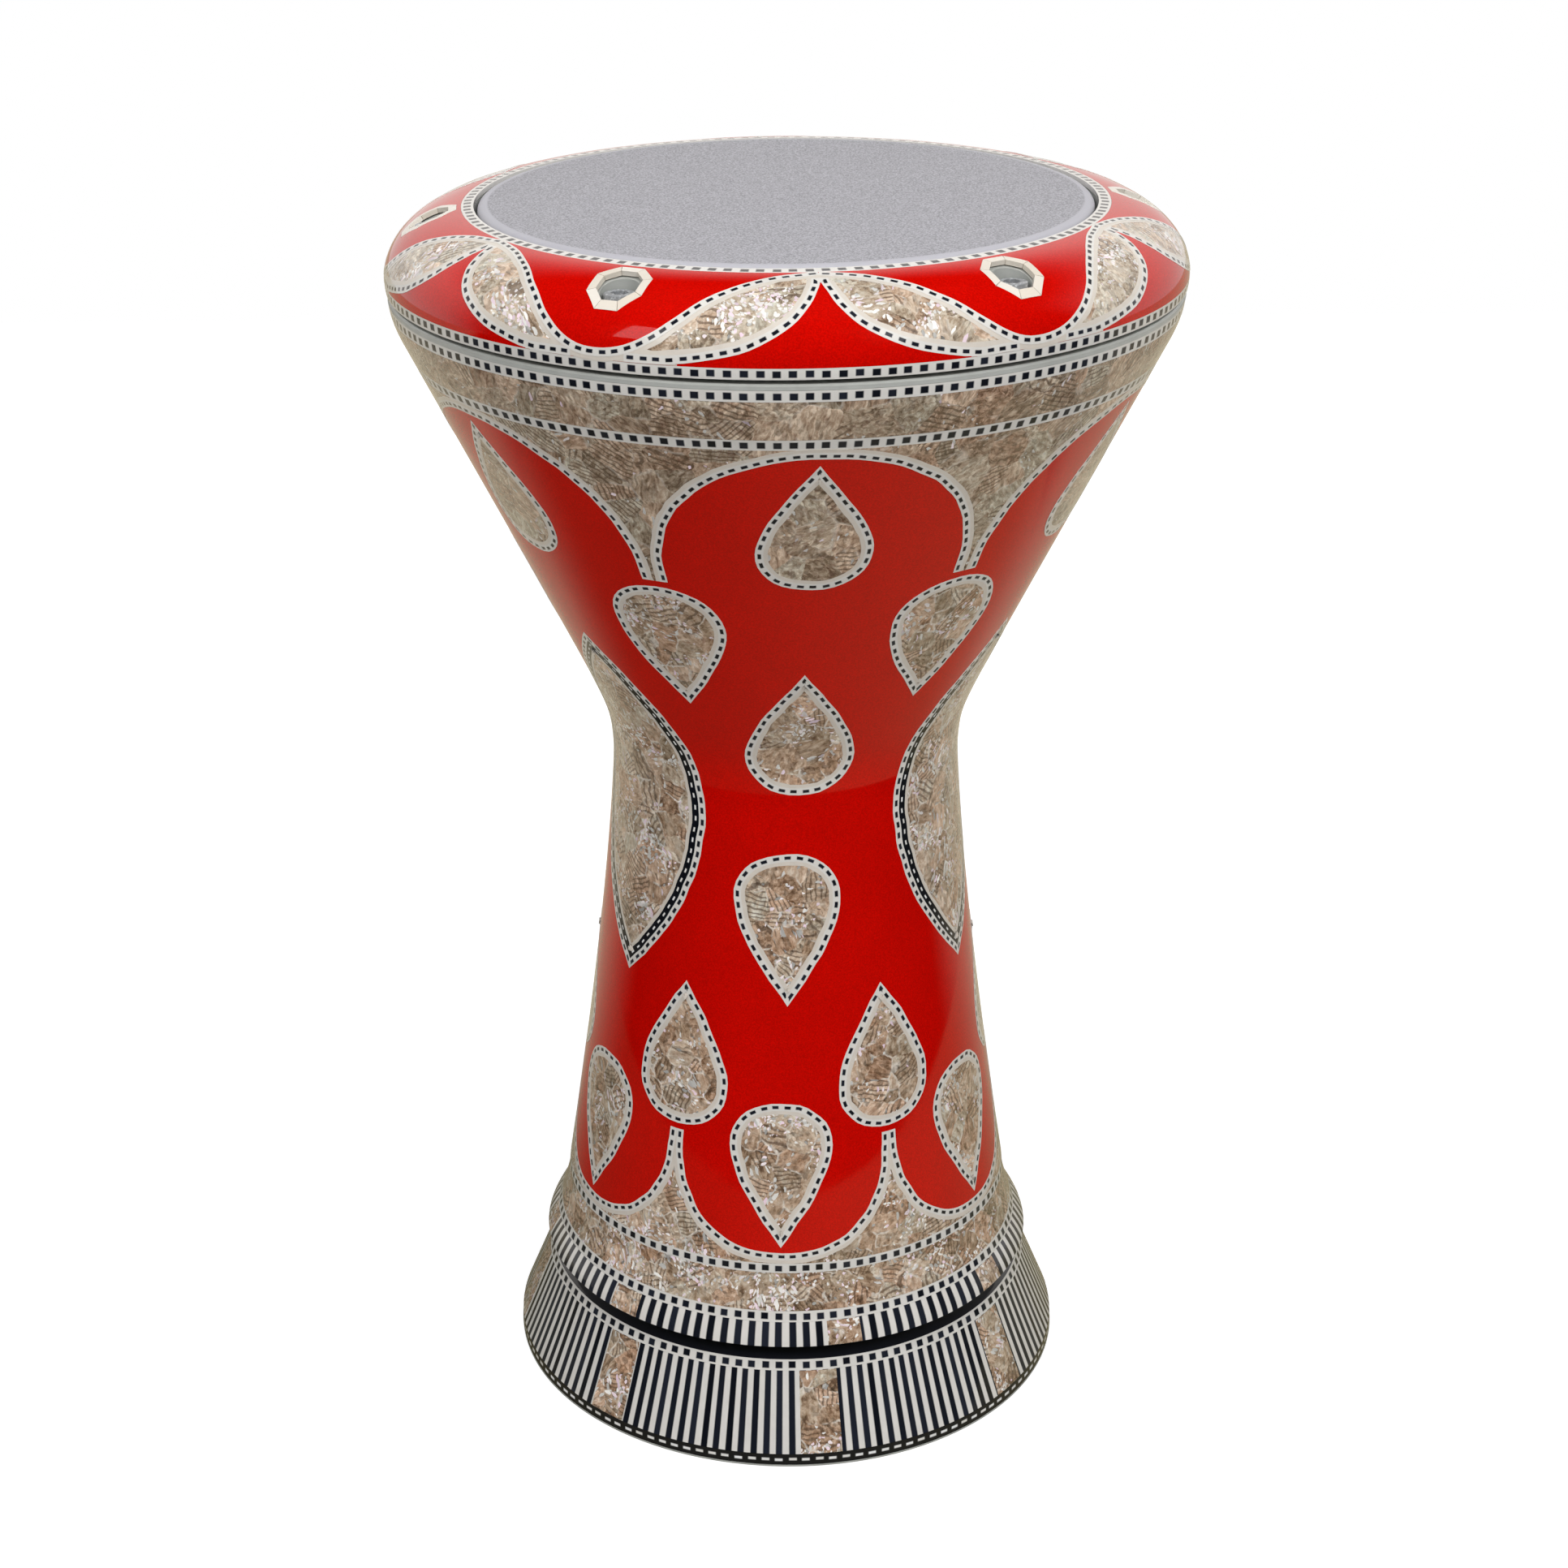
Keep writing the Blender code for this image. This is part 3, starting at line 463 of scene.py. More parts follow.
def join(objects, name):
    select_only(*objects)
    bpy.ops.object.join()
    return name_it(bpy.context.object, name)


def turned_copy(obj, name, azimuth):
    """A copy with its own mesh, turned round the drum by an azimuth in degrees."""
    copy = obj.copy()
    copy.data = obj.data.copy()
    bpy.context.scene.collection.objects.link(copy)
    copy.data.transform(Matrix.Rotation(radians(azimuth), 4, "Z"))
    return name_it(copy, name)


def repeat(objects, stem, places):
    """Copies a motif modelled at azimuth 0 to every place; gives the copies as lists."""
    made = []
    for index, azimuth in enumerate(places):
        made.append([turned_copy(obj, f"{stem}_{index + 1}_{obj.name}", azimuth) for obj in objects])
    for obj in objects:
        bpy.data.objects.remove(obj)
    return made


def wrap_uv(obj, face, count, low, high):
    """Tiles to a turn along u, and the share of the band's width along v."""
    layer = obj.data.uv_layers.new(name="inlay") if not obj.data.uv_layers else obj.data.uv_layers[0]
    layer.name = "inlay"
    for polygon in obj.data.polygons:
        middle = atan2(polygon.center.x, -polygon.center.y)
        for loop in polygon.loop_indices:
            point = obj.data.vertices[obj.data.loops[loop].vertex_index].co
            turn = atan2(point.x, -point.y)
            turn += 2 * pi * round((middle - turn) / (2 * pi))
            along = face.along(hypot(point.x, point.y) / MM, point.z / MM)
            layer.data[loop].uv = ((turn / (2 * pi) + 1.0) * count, (along - low) / (high - low))


def dress(obj, body, slot, *materials):
    """Gives a piece its materials and its body; the slot is not used."""
    if materials:
        obj.data.materials.clear()
        for material in materials:
            obj.data.materials.append(material)
    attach(obj, body)


def skin_band(name, face, low, high, depth, rows, steps):
    """A closed band of the skin between two places along the face."""
    stations = spread(low, high, rows + 1)
    section = [face.section(along, 0.0) for along in stations]
    section += [face.section(along, -depth) for along in reversed(stations)]
    return turned(name, section, steps)


# Outlines, as points of (azimuth, along)

def bezier(start, first, second, end, share):
    rest = 1.0 - share
    return tuple(rest ** 3 * a + 3 * rest ** 2 * share * b + 3 * rest * share ** 2 * c + share ** 3 * d
                 for a, b, c, d in zip(start, first, second, end))


def drop_side(face, tip, heel, half_width, count=14):
    """One side of a teardrop from tip to heel."""
    wide = 0.70
    shape = [bezier((0, 0), (0.45, 0.22), (1, 0.50), (1, wide), share) for share in spread(0, 1, count)]
    shape += [bezier((1, wide), (1, 0.88), (0.60, 1), (0, 1), share) for share in spread(0, 1, 10)[1:]]
    side = []
    for across, along in shape:
        place = tip + (heel - tip) * along
        side.append((across * half_width / (radians(1) * face.radius(place)), place))
    return side


def mirrored(side):
    return [(-azimuth, along) for azimuth, along in side]


def outline(side):
    """A closed outline from its right side, first point to last and back on the left."""
    return side + mirrored(side)[-2:0:-1]


def sideways(face, path, distances, closed):
    """The path moved to its left by each point's distance in mm, mitred at its corners."""
    count = len(path)
    moved = []

    def step(start, end, across, stretch):
        move = Vector(((end[0] - start[0]) * across, (end[1] - start[1]) * stretch))
        return move.normalized() if move.length > 1e-9 else None

    for index, point in enumerate(path):
        before = path[index - 1] if closed or index else point
        after = path[(index + 1) % count] if closed or index < count - 1 else point
        across = radians(1) * face.radius(point[1])
        stretch = face.stretch(point[1])
        back = step(before, point, across, stretch)
        ahead = step(point, after, across, stretch)
        back, ahead = back or ahead, ahead or back
        along = (back + ahead).normalized()
        mitre = distances[index] / max(0.5, along.dot(ahead))
        moved.append((point[0] - mitre * along.y / across, point[1] + mitre * along.x / stretch))
    return moved


def clockwise(path):
    """Whether a closed outline runs so that its left side lies outside."""
    area = 0.0
    for start, end in zip(path, path[1:] + path[:1]):
        area += start[0] * end[1] - end[0] * start[1]
    return area < 0


def wobble(point, scale, layer):
    """A hand's unsteadiness at a point, from -1 to 1, of a scale to a degree and a millimetre."""
    return noise.noise(Vector((point[0] * scale[0], point[1] * scale[1], layer)))


def ribbon(look, face, path, near, far, lift, pitch, closed=False):
    """A flat strip along a path between two distances from it, with dashes along u. The filler's far edge
    is ragged, where it touches pearl."""
    rags = FILLER_RAG if look == "filler" else 0.0
    if closed and clockwise(path):
        path = path[::-1]
    layers = []
    for distance in (near, 0.5 * (near + far), far):
        rag = rags if abs(distance) == max(abs(near), abs(far)) else 0.0
        stray = [distance + wobble(point, (0.16, 0.13), 0.0) * STRIP_WOBBLE
                 + wobble(point, (0.7, 0.6), 7.0) * rag for point in path]
        layers.append(sideways(face, path, stray, closed))
    if closed:
        layers = [layer + layer[:1] for layer in layers]
    middle = layers[1]
    run = [0.0]
    for start, end in zip(middle, middle[1:]):
        across = radians(1) * face.radius(start[1]) * (end[0] - start[0])
        run.append(run[-1] + hypot(across, face.stretch(start[1]) * (end[1] - start[1])))
    pitches = max(1, round(run[-1] / pitch))
    obj = grid(look, len(middle) - 1, 2)
    place_grid(obj, len(middle) - 1, 2,
               lambda column, row: on_face(face, *layers[row][column], lift),
               lambda column, row: (pitches * run[column] / run[-1], row / 2))
    obj.data.materials.append(materials()[look])
    return close_sheet(obj)


def ruled_plate(name, face, left, right, columns, lift=PEARL_LIFT):
    """A plate between two sides of as many points."""
    obj = grid(name, columns, len(left) - 1)

    def place(column, row):
        share = column / columns
        azimuth = left[row][0] + (right[row][0] - left[row][0]) * share
        along = left[row][1] + (right[row][1] - left[row][1]) * share
        return on_face(face, azimuth, along, lift)

    place_grid(obj, columns, len(left) - 1, place)
    return close_sheet(obj)


def edged_plate(face, side, sizes, columns, inner_strip=False):
    """Pearl plate with its edging of dashed strip and filler, modelled at azimuth 0."""
    plate = ruled_plate("pearl", face, mirrored(side), side, columns)
    path = outline(side)
    inside = sizes.strip_width - STRIP_OUTSET
    pitch = sizes.strip_pitch
    parts = [ribbon("strip", face, path, -STRIP_OUTSET, inside, STRIP_LIFT, pitch, True)]
    if inner_strip:
        parts.append(ribbon("dark_strip", face, path, inside, inside + sizes.strip_width, STRIP_LIFT, pitch,
                            True))
        inside += sizes.strip_width
    parts.append(ribbon("filler", face, path, inside - FILLER_TUCK, inside + sizes.filler_width, FILLER_LIFT,
                        pitch, True))
    return [plate, join(parts, "edging")]


def lined_strip(face, path, sizes, side, lift=STRIP_LIFT):
    """A dashed strip centred on an open path, with filler along its left side (1) or its right (-1)."""
    half = sizes.strip_width / 2
    near, far = sorted((side * (half - FILLER_TUCK), side * (half + sizes.filler_width)))
    return [ribbon("strip", face, path, -half, half, lift, sizes.strip_pitch),
            ribbon("filler", face, path, near, far, FILLER_LIFT, sizes.strip_pitch)]


def posts(ring, radius, low, high, sides, turn=None, **options):
    """Six upright helper cylinders on the screws' axes, one object each, turned with them where asked."""
    made = []
    for azimuth in azimuths(SCREW_AZIMUTH):
        angle = 0.0 if turn is None else radians(azimuth + turn)
        select_only()
        bpy.ops.mesh.primitive_cylinder_add(vertices=sides, radius=radius * MM, depth=(high - low) * MM,
                                            location=polar(azimuth, ring.bolt_circle, (low + high) / 2),
                                            rotation=(0.0, 0.0, angle), **options)
        made.append(bpy.context.object)
    return made


# Materials

def add_node(tree, kind, sockets=(), out=None, **settings):
    """Adds a node with its settings, and links or sets its sockets, in their order or by name or number.
    Gives the node, or one of its outputs where that is asked for."""
    node = tree.nodes.new("ShaderNode" + kind)
    for key, value in settings.items():
        setattr(node, key, value)
    for key, value in sockets.items() if isinstance(sockets, dict) else enumerate(sockets):
        socket = node.inputs[key]
        if isinstance(value, bpy.types.NodeSocket):
            tree.links.new(value, socket)
        else:
            socket.default_value = (*value[:3], 1.0) if socket.type == "RGBA" else value
    return node if out is None else node.outputs[out]


def per_mm(*sizes):
    """Texture scales that give features of these sizes in millimetres."""
    return tuple(1 / (size * MM) for size in sizes)


def grain(tree, size, detail=3.0, roughness=0.55):
    """Noise in the piece's own place, its grain being a size in millimetres."""
    place = add_node(tree, "TexCoord", out="Object")
    return add_node(tree, "TexNoise", {"Vector": place, "Scale": per_mm(size)[0], "Detail": detail,
                                       "Roughness": roughness}, 0)


def between(tree, value, low, high, soft=0.04):
    """1 where a value lies between two bounds, with soft edges."""
    up = add_node(tree, "MapRange", (value, low - soft, low + soft), 0)
    down = add_node(tree, "MapRange", (value, high - soft, high + soft), 0)
    return add_node(tree, "Math", (up, down), 0, operation="SUBTRACT")


def finish(name, roughness, coat=0.0, metallic=0.0, specular=0.5):
    """Node tree and shader of a new material, with its constants on the shader's sockets."""
    material = bpy.data.materials.new(name)
    material.use_nodes = True
    shader = material.node_tree.nodes["Principled BSDF"]
    shader.inputs["Roughness"].default_value = roughness
    shader.inputs["Metallic"].default_value = metallic
    shader.inputs["Specular IOR Level"].default_value = specular
    shader.inputs["Coat Weight"].default_value = coat
    shader.inputs["Coat Roughness"].default_value = 0.05
    return material.node_tree, shader


def scaled(tone, factor):
    """A linear colour times a factor."""
    return tuple(min(1.0, value * factor) for value in tone)


def red_resin(name, red):
    """Polyester resin, poured and lacquered: a deep red with faint clouds and a fine fleck, under a gloss
    that ripples a little."""
    tree, shader = finish(name, 0.5, coat=1.0, specular=0.0)
    cloudy = add_node(tree, "Mix", {0: grain(tree, 22.0), 6: scaled(red, 0.82), 7: red}, 2, data_type="RGBA")
    fleck = add_node(tree, "MapRange", (grain(tree, 0.55, 2.0), 0.35, 0.65, 0.82, 1.12), 0)
    tone = add_node(tree, "Mix", {0: 1.0, 6: cloudy, 7: fleck}, 2, data_type="RGBA", blend_type="MULTIPLY")
    tree.links.new(tone, shader.inputs["Base Color"])
    ripple = add_node(tree, "Bump", {"Height": grain(tree, 9.0, 1.0), "Strength": 0.04,
                                     "Distance": 0.0004}, 0)
    tree.links.new(ripple, shader.inputs["Coat Normal"])


def tiled(name, ground, tile, along, across):
    """Polyester resin, laid as small blocks and lacquered: crisp tiles, each a touch askew and off in tone,
    in a ground that is worn darker in places. A tile's ends and sides are shares of its cell."""
    askew, worn_more = 0.08, 0.12
    tree, shader = finish(name, 0.5, coat=1.0, specular=0.1)
    uv = add_node(tree, "UVMap", out=0, uv_map="inlay")
    place, width, _ = add_node(tree, "SeparateXYZ", (uv,)).outputs
    cell = add_node(tree, "Math", (place,), 0, operation="FLOOR")
    shifted = add_node(tree, "Math", (cell, 0.37), 0, operation="ADD")
    chance = add_node(tree, "TexWhiteNoise", {"W": cell}, 0, noise_dimensions="1D")
    other = add_node(tree, "TexWhiteNoise", {"W": shifted}, 0, noise_dimensions="1D")
    inside = add_node(tree, "Math", (place,), 0, operation="FRACT")
    masks = []
    for random, value, bounds in ((chance, inside, along), (other, width, across)):
        value = add_node(tree, "Math", (random, askew, value), 0, operation="MULTIPLY_ADD")
        value = add_node(tree, "Math", (value, askew / 2), 0, operation="SUBTRACT")
        masks.append(between(tree, value, *bounds))
    mask = add_node(tree, "Math", masks, 0, operation="MULTIPLY")
    worn = scaled(ground, 0.868)
    patchy = add_node(tree, "Mix", {0: grain(tree, 6.0), 6: worn, 7: ground}, 2, data_type="RGBA")
    share = add_node(tree, "Math", (chance, worn_more), 0, operation="MULTIPLY")
    patchy = add_node(tree, "Mix", {0: share, 6: patchy, 7: worn}, 2, data_type="RGBA")
    faded = tuple(min(1.0, value * 2.6 + 0.004) for value in tile)
    block = add_node(tree, "Mix", {0: other, 6: tile, 7: faded}, 2, data_type="RGBA")
    tone = add_node(tree, "Mix", {0: mask, 6: patchy, 7: block}, 2, data_type="RGBA")
    tree.links.new(tone, shader.inputs["Base Color"])


def pearl(name, tones, shard_size, grown_share, combed, cracked, glint):
    """Mother of pearl, split and set in lacquered resin: shards with each its own tone, growth lines and
    combs of fine ridges, pale cracks between them, and flakes at their own tilts, some painted white and
    pink as painted glints that stand in for the nacre's highlights."""
    mottle_share = 1.7
    tree, shader = finish(name, 0.24, coat=1.0, specular=0.3)
    place = add_node(tree, "TexCoord", out="Object")
    warp = add_node(tree, "TexNoise", {"Vector": place, "Scale": per_mm(4.545)[0], "Detail": 3.0}, "Color")
    warped = add_node(tree, "VectorMath", (warp, (0.0024,) * 3, place), 0, operation="MULTIPLY_ADD")
    scale = per_mm(shard_size)[0]
    shards = add_node(tree, "TexVoronoi", {"Vector": warped, "Scale": scale}, "Color")
    tone, chance, warmth = add_node(tree, "SeparateXYZ", (shards,)).outputs
    spin = add_node(tree, "VectorMath", (shards, (5.0,) * 3), 0, operation="MULTIPLY")
    spun = add_node(tree, "VectorRotate", {"Vector": warped, "Rotation": spin}, 0, rotation_type="EULER_XYZ")

    # Growth lines: noise drawn out along a direction that turns from shard to shard
    drawn = add_node(tree, "VectorMath", (spun, per_mm(6.667, 1.613, 1.613)), 0, operation="MULTIPLY")
    grown = add_node(tree, "TexNoise", {"Vector": drawn, "Scale": 1.0, "Detail": 4.0, "Roughness": 0.6,
                                        "Distortion": 0.9}, 0)
    choice = add_node(tree, "Math", (tone, 0.46, 0.27 - (grown_share + mottle_share) / 2), 0,
                      operation="MULTIPLY_ADD")
    for texture, share in ((grown, grown_share), (grain(tree, 3.2, 4.0, 0.68), mottle_share)):
        choice = add_node(tree, "Math", (texture, share, choice), 0, operation="MULTIPLY_ADD")
    ramp = add_node(tree, "ValToRGB", (choice,))
    stops = ramp.color_ramp.elements
    stops[0].color = (*linear(tones[0]), 1.0)
    stops[1].color = (*linear(tones[-1]), 1.0)
    for index, code in enumerate(tones[1:-1]):
        stops.new((index + 1) / (len(tones) - 1)).color = (*linear(code), 1.0)
    tint = add_node(tree, "Mix", {0: warmth, 6: linear("#FFEEDF"), 7: linear("#EEF3EC")}, 2, data_type="RGBA")
    toned = add_node(tree, "Mix", {0: 1.0, 6: ramp.outputs[0], 7: tint}, 2, data_type="RGBA",
                     blend_type="MULTIPLY")

    # Combs of fine dark ridges on some shards; a wave at this scale is pi / 10 of 5 mm long
    wave = add_node(tree, "TexWave", {"Vector": spun, "Scale": per_mm(5.0)[0], "Distortion": 2.4,
                                      "Detail": 2.0, "Detail Scale": 0.6}, "Fac")
    comb = add_node(tree, "MapRange", (wave, 0.42, 0.16, 0.0, 0.7), 0)
    some = add_node(tree, "Math", (chance, 1.0 - combed), 0, operation="GREATER_THAN")
    share = add_node(tree, "Math", (comb, some), 0, operation="MULTIPLY")
    ridged = add_node(tree, "Mix", {0: share, 6: toned, 7: linear("#66503F")}, 2, data_type="RGBA")

    # Pale cracks
    edges = add_node(tree, "TexVoronoi", {"Vector": warped, "Scale": scale}, 0, feature="DISTANCE_TO_EDGE")
    crack = add_node(tree, "MapRange", (edges, 0.022, 0.05, 1.0, 0.0), 0)
    patchy = add_node(tree, "MapRange", (grain(tree, 6.0), 0.49, 0.58, 0.0, cracked), 0)
    share = add_node(tree, "Math", (crack, patchy), 0, operation="MULTIPLY")
    pale = add_node(tree, "Mix", {0: share, 6: ridged, 7: linear("#EDE3D6")}, 2, data_type="RGBA")

    # Flakes in swarms, each at its own tilt; the picked ones are painted white or pink, as painted glints
    stretched = add_node(tree, "VectorMath", (spun, per_mm(3.846, 1.0204, 1.0204)), 0, operation="MULTIPLY")
    flakes = add_node(tree, "TexVoronoi", {"Vector": stretched, "Scale": 1.0})
    _, luck, rose = add_node(tree, "SeparateXYZ", (flakes.outputs["Color"],)).outputs
    swarm = add_node(tree, "MapRange", (grain(tree, shard_size * 1.6, 1.0), 0.47, 0.66, 0.03 * glint,
                                        0.6 * glint), 0)
    bar = add_node(tree, "Math", (1.0, swarm), 0, operation="SUBTRACT")
    painted_glint = add_node(tree, "Math", (luck, bar), 0, operation="GREATER_THAN")
    alone = add_node(tree, "MapRange", (flakes.outputs["Distance"], 0.66, 0.58), 0)
    painted_glint = add_node(tree, "Math", (painted_glint, alone), 0, operation="MULTIPLY")
    rosy = add_node(tree, "MapRange", (rose, 0.6, 1.0, 0.0, 0.7), 0)
    painted_glint_colour = add_node(tree, "Mix", {0: rosy, 6: linear("#FFFCF6"), 7: linear("#F6CFE9")}, 2, data_type="RGBA")
    # Painted glints: the picked flakes take a warm white or pink base colour, whatever the light
    tone = add_node(tree, "Mix", {0: painted_glint, 6: pale, 7: painted_glint_colour}, 2, data_type="RGBA")
    tree.links.new(tone, shader.inputs["Base Color"])
    tilt = add_node(tree, "VectorMath", (flakes.outputs["Color"], (0.5,) * 3), 0, operation="SUBTRACT")
    straight = add_node(tree, "NewGeometry", out="Normal")
    normal = add_node(tree, "VectorMath", (tilt, (1.2,) * 3, straight), 0, operation="MULTIPLY_ADD")
    normal = add_node(tree, "VectorMath", (normal,), 0, operation="NORMALIZE")
    tree.links.new(normal, shader.inputs["Normal"])


def paste(name, tone):
    """Filler paste or poured resin under lacquer: one matt tone, faintly mottled."""
    tree, shader = finish(name, 0.5, coat=1.0)
    mottled = add_node(tree, "Mix", {0: grain(tree, 2.5), 6: scaled(tone, 0.84), 7: tone}, 2,
                       data_type="RGBA")
    tree.links.new(mottled, shader.inputs["Base Color"])


def cast_aluminium(name, aluminium):
    """Sand-cast aluminium under its dull oxide, which hides most of its mirror: pale grey with a fine
    pebbled skin."""
    tree, shader = finish(name, 0.45, metallic=0.12)
    pebbles = grain(tree, 1.2, 5.0)
    tone = add_node(tree, "Mix", {0: grain(tree, 8.0), 6: scaled(aluminium, 0.72), 7: aluminium}, 2,
                    data_type="RGBA")
    tree.links.new(tone, shader.inputs["Base Color"])
    rough = add_node(tree, "MapRange", {0: pebbles, 3: 0.34, 4: 0.58}, 0)
    tree.links.new(rough, shader.inputs["Roughness"])
    bump = add_node(tree, "Bump", {"Height": pebbles, "Strength": 0.25, "Distance": 0.0002}, 0)
    tree.links.new(bump, shader.inputs["Normal"])


def oiled_steel(name, steel):
    """Oiled black steel, worn grey by the key: scratches and edges shine."""
    tree, shader = finish(name, 0.30, metallic=0.3)
    scuff = add_node(tree, "MapRange", (grain(tree, 0.9, 5.0), 0.52, 0.72), 0)
    tone = add_node(tree, "Mix", {0: scuff, 6: steel, 7: scaled(steel, 2.4)}, 2, data_type="RGBA")
    tree.links.new(tone, shader.inputs["Base Color"])
    rough = add_node(tree, "MapRange", {0: grain(tree, 0.6), 3: 0.22, 4: 0.42}, 0)
    tree.links.new(rough, shader.inputs["Roughness"])


def polyester_head(name, film):
    """Thick grey polyester film: a satin sheet with a fine even grain and a smoother, paler collar."""
    collar_from, collar_to = 0.1004, 0.1010
    tree, shader = finish(name, 0.5, specular=0.3)
    place = add_node(tree, "TexCoord", out="Object")
    flat = add_node(tree, "VectorMath", (place, (1.0, 1.0, 0.0)), 0, operation="MULTIPLY")
    reach = add_node(tree, "VectorMath", (flat,), "Value", operation="LENGTH")
    collar = add_node(tree, "MapRange", (reach, collar_from, collar_to), 0)
    specks = add_node(tree, "MapRange", (grain(tree, 0.6, 1.0), 0.38, 0.62), 0)
    body = add_node(tree, "Mix", {0: specks, 6: scaled(film, 0.74), 7: scaled(film, 1.36)}, 2,
                    data_type="RGBA")
    tone = add_node(tree, "Mix", {0: collar, 6: body, 7: scaled(film, 1.4)}, 2, data_type="RGBA")
    tree.links.new(tone, shader.inputs["Base Color"])
    bump = add_node(tree, "Bump", {"Height": specks, "Strength": 0.12, "Distance": 0.0001}, 0)
    tree.links.new(bump, shader.inputs["Normal"])


def cream_tile(name, cream):
    """Polyester resin, sawn to tiles and polished flush: eight pieces of slightly different cream."""
    tree, shader = finish(name, 0.3, coat=0.8)
    uv = add_node(tree, "UVMap", out=0, uv_map="inlay")
    place = add_node(tree, "SeparateXYZ", (uv,), 0)
    cell = add_node(tree, "Math", (place,), 0, operation="FLOOR")
    chance = add_node(tree, "TexWhiteNoise", {"W": cell}, 0, noise_dimensions="1D")
    dull = tuple(value * factor for value, factor in zip(cream, (0.90, 0.86, 0.80)))
    tone = add_node(tree, "Mix", {0: chance, 6: cream, 7: dull}, 2, data_type="RGBA")
    share = add_node(tree, "Math", (grain(tree, 1.5), 0.3), 0, operation="MULTIPLY")
    tone = add_node(tree, "Mix", {0: share, 6: tone, 7: dull}, 2, data_type="RGBA")
    tree.links.new(tone, shader.inputs["Base Color"])


# Tones from the deepest growth line to the palest
PEARL_WARM = ("#7E6350", "#AE937C", "#CBB3A0", "#DFCCBB", "#F9F0E6")
PEARL_BRIGHT = ("#8F7967", "#BDA895", "#D8C8B9", "#E9DDD0", "#FBF5EC")
PEARL_STREAKED = ("#806A5A", "#A7907D", "#BFAA99", "#D3C2B1", "#F0E3D5")


def materials():
    """Every finish by its key, made on the first call."""
    colours = bpy.context.scene.drum_colours
    ivory, tile = colours.ivory, colours.tile
    finishes = {
        "red": ("red_polyester_resin_lacquered", red_resin, colours.red),
        "border": ("ivory_resin_black_tile_border", tiled, ivory, tile, (0.25, 0.77), (0.20, 0.80)),
        "strip": ("ivory_resin_dashed_strip", tiled, ivory, tile, (0.22, 0.76), (0.28, 0.72)),
        "dark_strip": ("black_resin_dashed_strip", tiled, tile, ivory, (0.30, 0.70), (0.38, 0.62)),
        "stripe": ("ivory_black_resin_stripes", tiled, ivory, tile, (0.24, 0.76), (-1.0, 2.0)),
        "rim": ("black_resin_rim_dashes", tiled, tile, ivory, (0.22, 0.78), (0.38, 0.62)),
        # The last number of each pearl is its share of painted glints: most on the ring's petals, which face
        # the lamps, fewest on the bowl, which faces down
        "warm": ("mother_of_pearl_warm", pearl, PEARL_WARM, 8.5, 1.5, 0.45, 0.8, 0.85),
        "grey": ("mother_of_pearl_streaked", pearl, PEARL_STREAKED, 12.0, 2.4, 0.35, 0.35, 0.12),
        "bright": ("mother_of_pearl_bright", pearl, PEARL_BRIGHT, 8.5, 1.7, 0.2, 0.5, 1.2),
        "filler": ("pale_filler_paste", paste, colours.filler),
        "cove": ("black_resin_cove", paste, tile),
        "aluminium": ("sand_cast_aluminium", cast_aluminium, colours.aluminium),
        "steel": ("oiled_black_steel", oiled_steel, colours.steel),
        "film": ("grey_polyester_head", polyester_head, colours.film),
        "cream": ("cream_resin_tile", cream_tile, colours.cream),
    }
    for name, maker, *values in finishes.values():
        if name not in bpy.data.materials:
            maker(name, *values)
    return {key: bpy.data.materials[row[0]] for key, row in finishes.items()}


class PieceOperator(bpy.types.Operator):
    """Shared set-up of the operators that make pieces."""
    bl_options = {"REGISTER", "UNDO"}

    def prepare(self, context):
        self.sizes = context.scene.drum_sizes
        self.shell = ShellFace(self.sizes)
        self.ring = RingFace(self.sizes)
        self.steps = self.sizes.spin_steps
        self.looks = materials()

    def motif(self, parts, stem, places, nodes=None, look="warm"):
        """Repeats a shell motif of pearl and edging round the drum; nodes names the solids it replaces."""
        for index, (plate, edging) in enumerate(repeat(parts, stem, places)):
            dress(plate, "shell", "mother_of_pearl", self.looks[look])
            if nodes:
                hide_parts(f"{nodes}_{index + 1}")
            dress(edging, "shell", "ivory_resin")


# Pieces of the shell

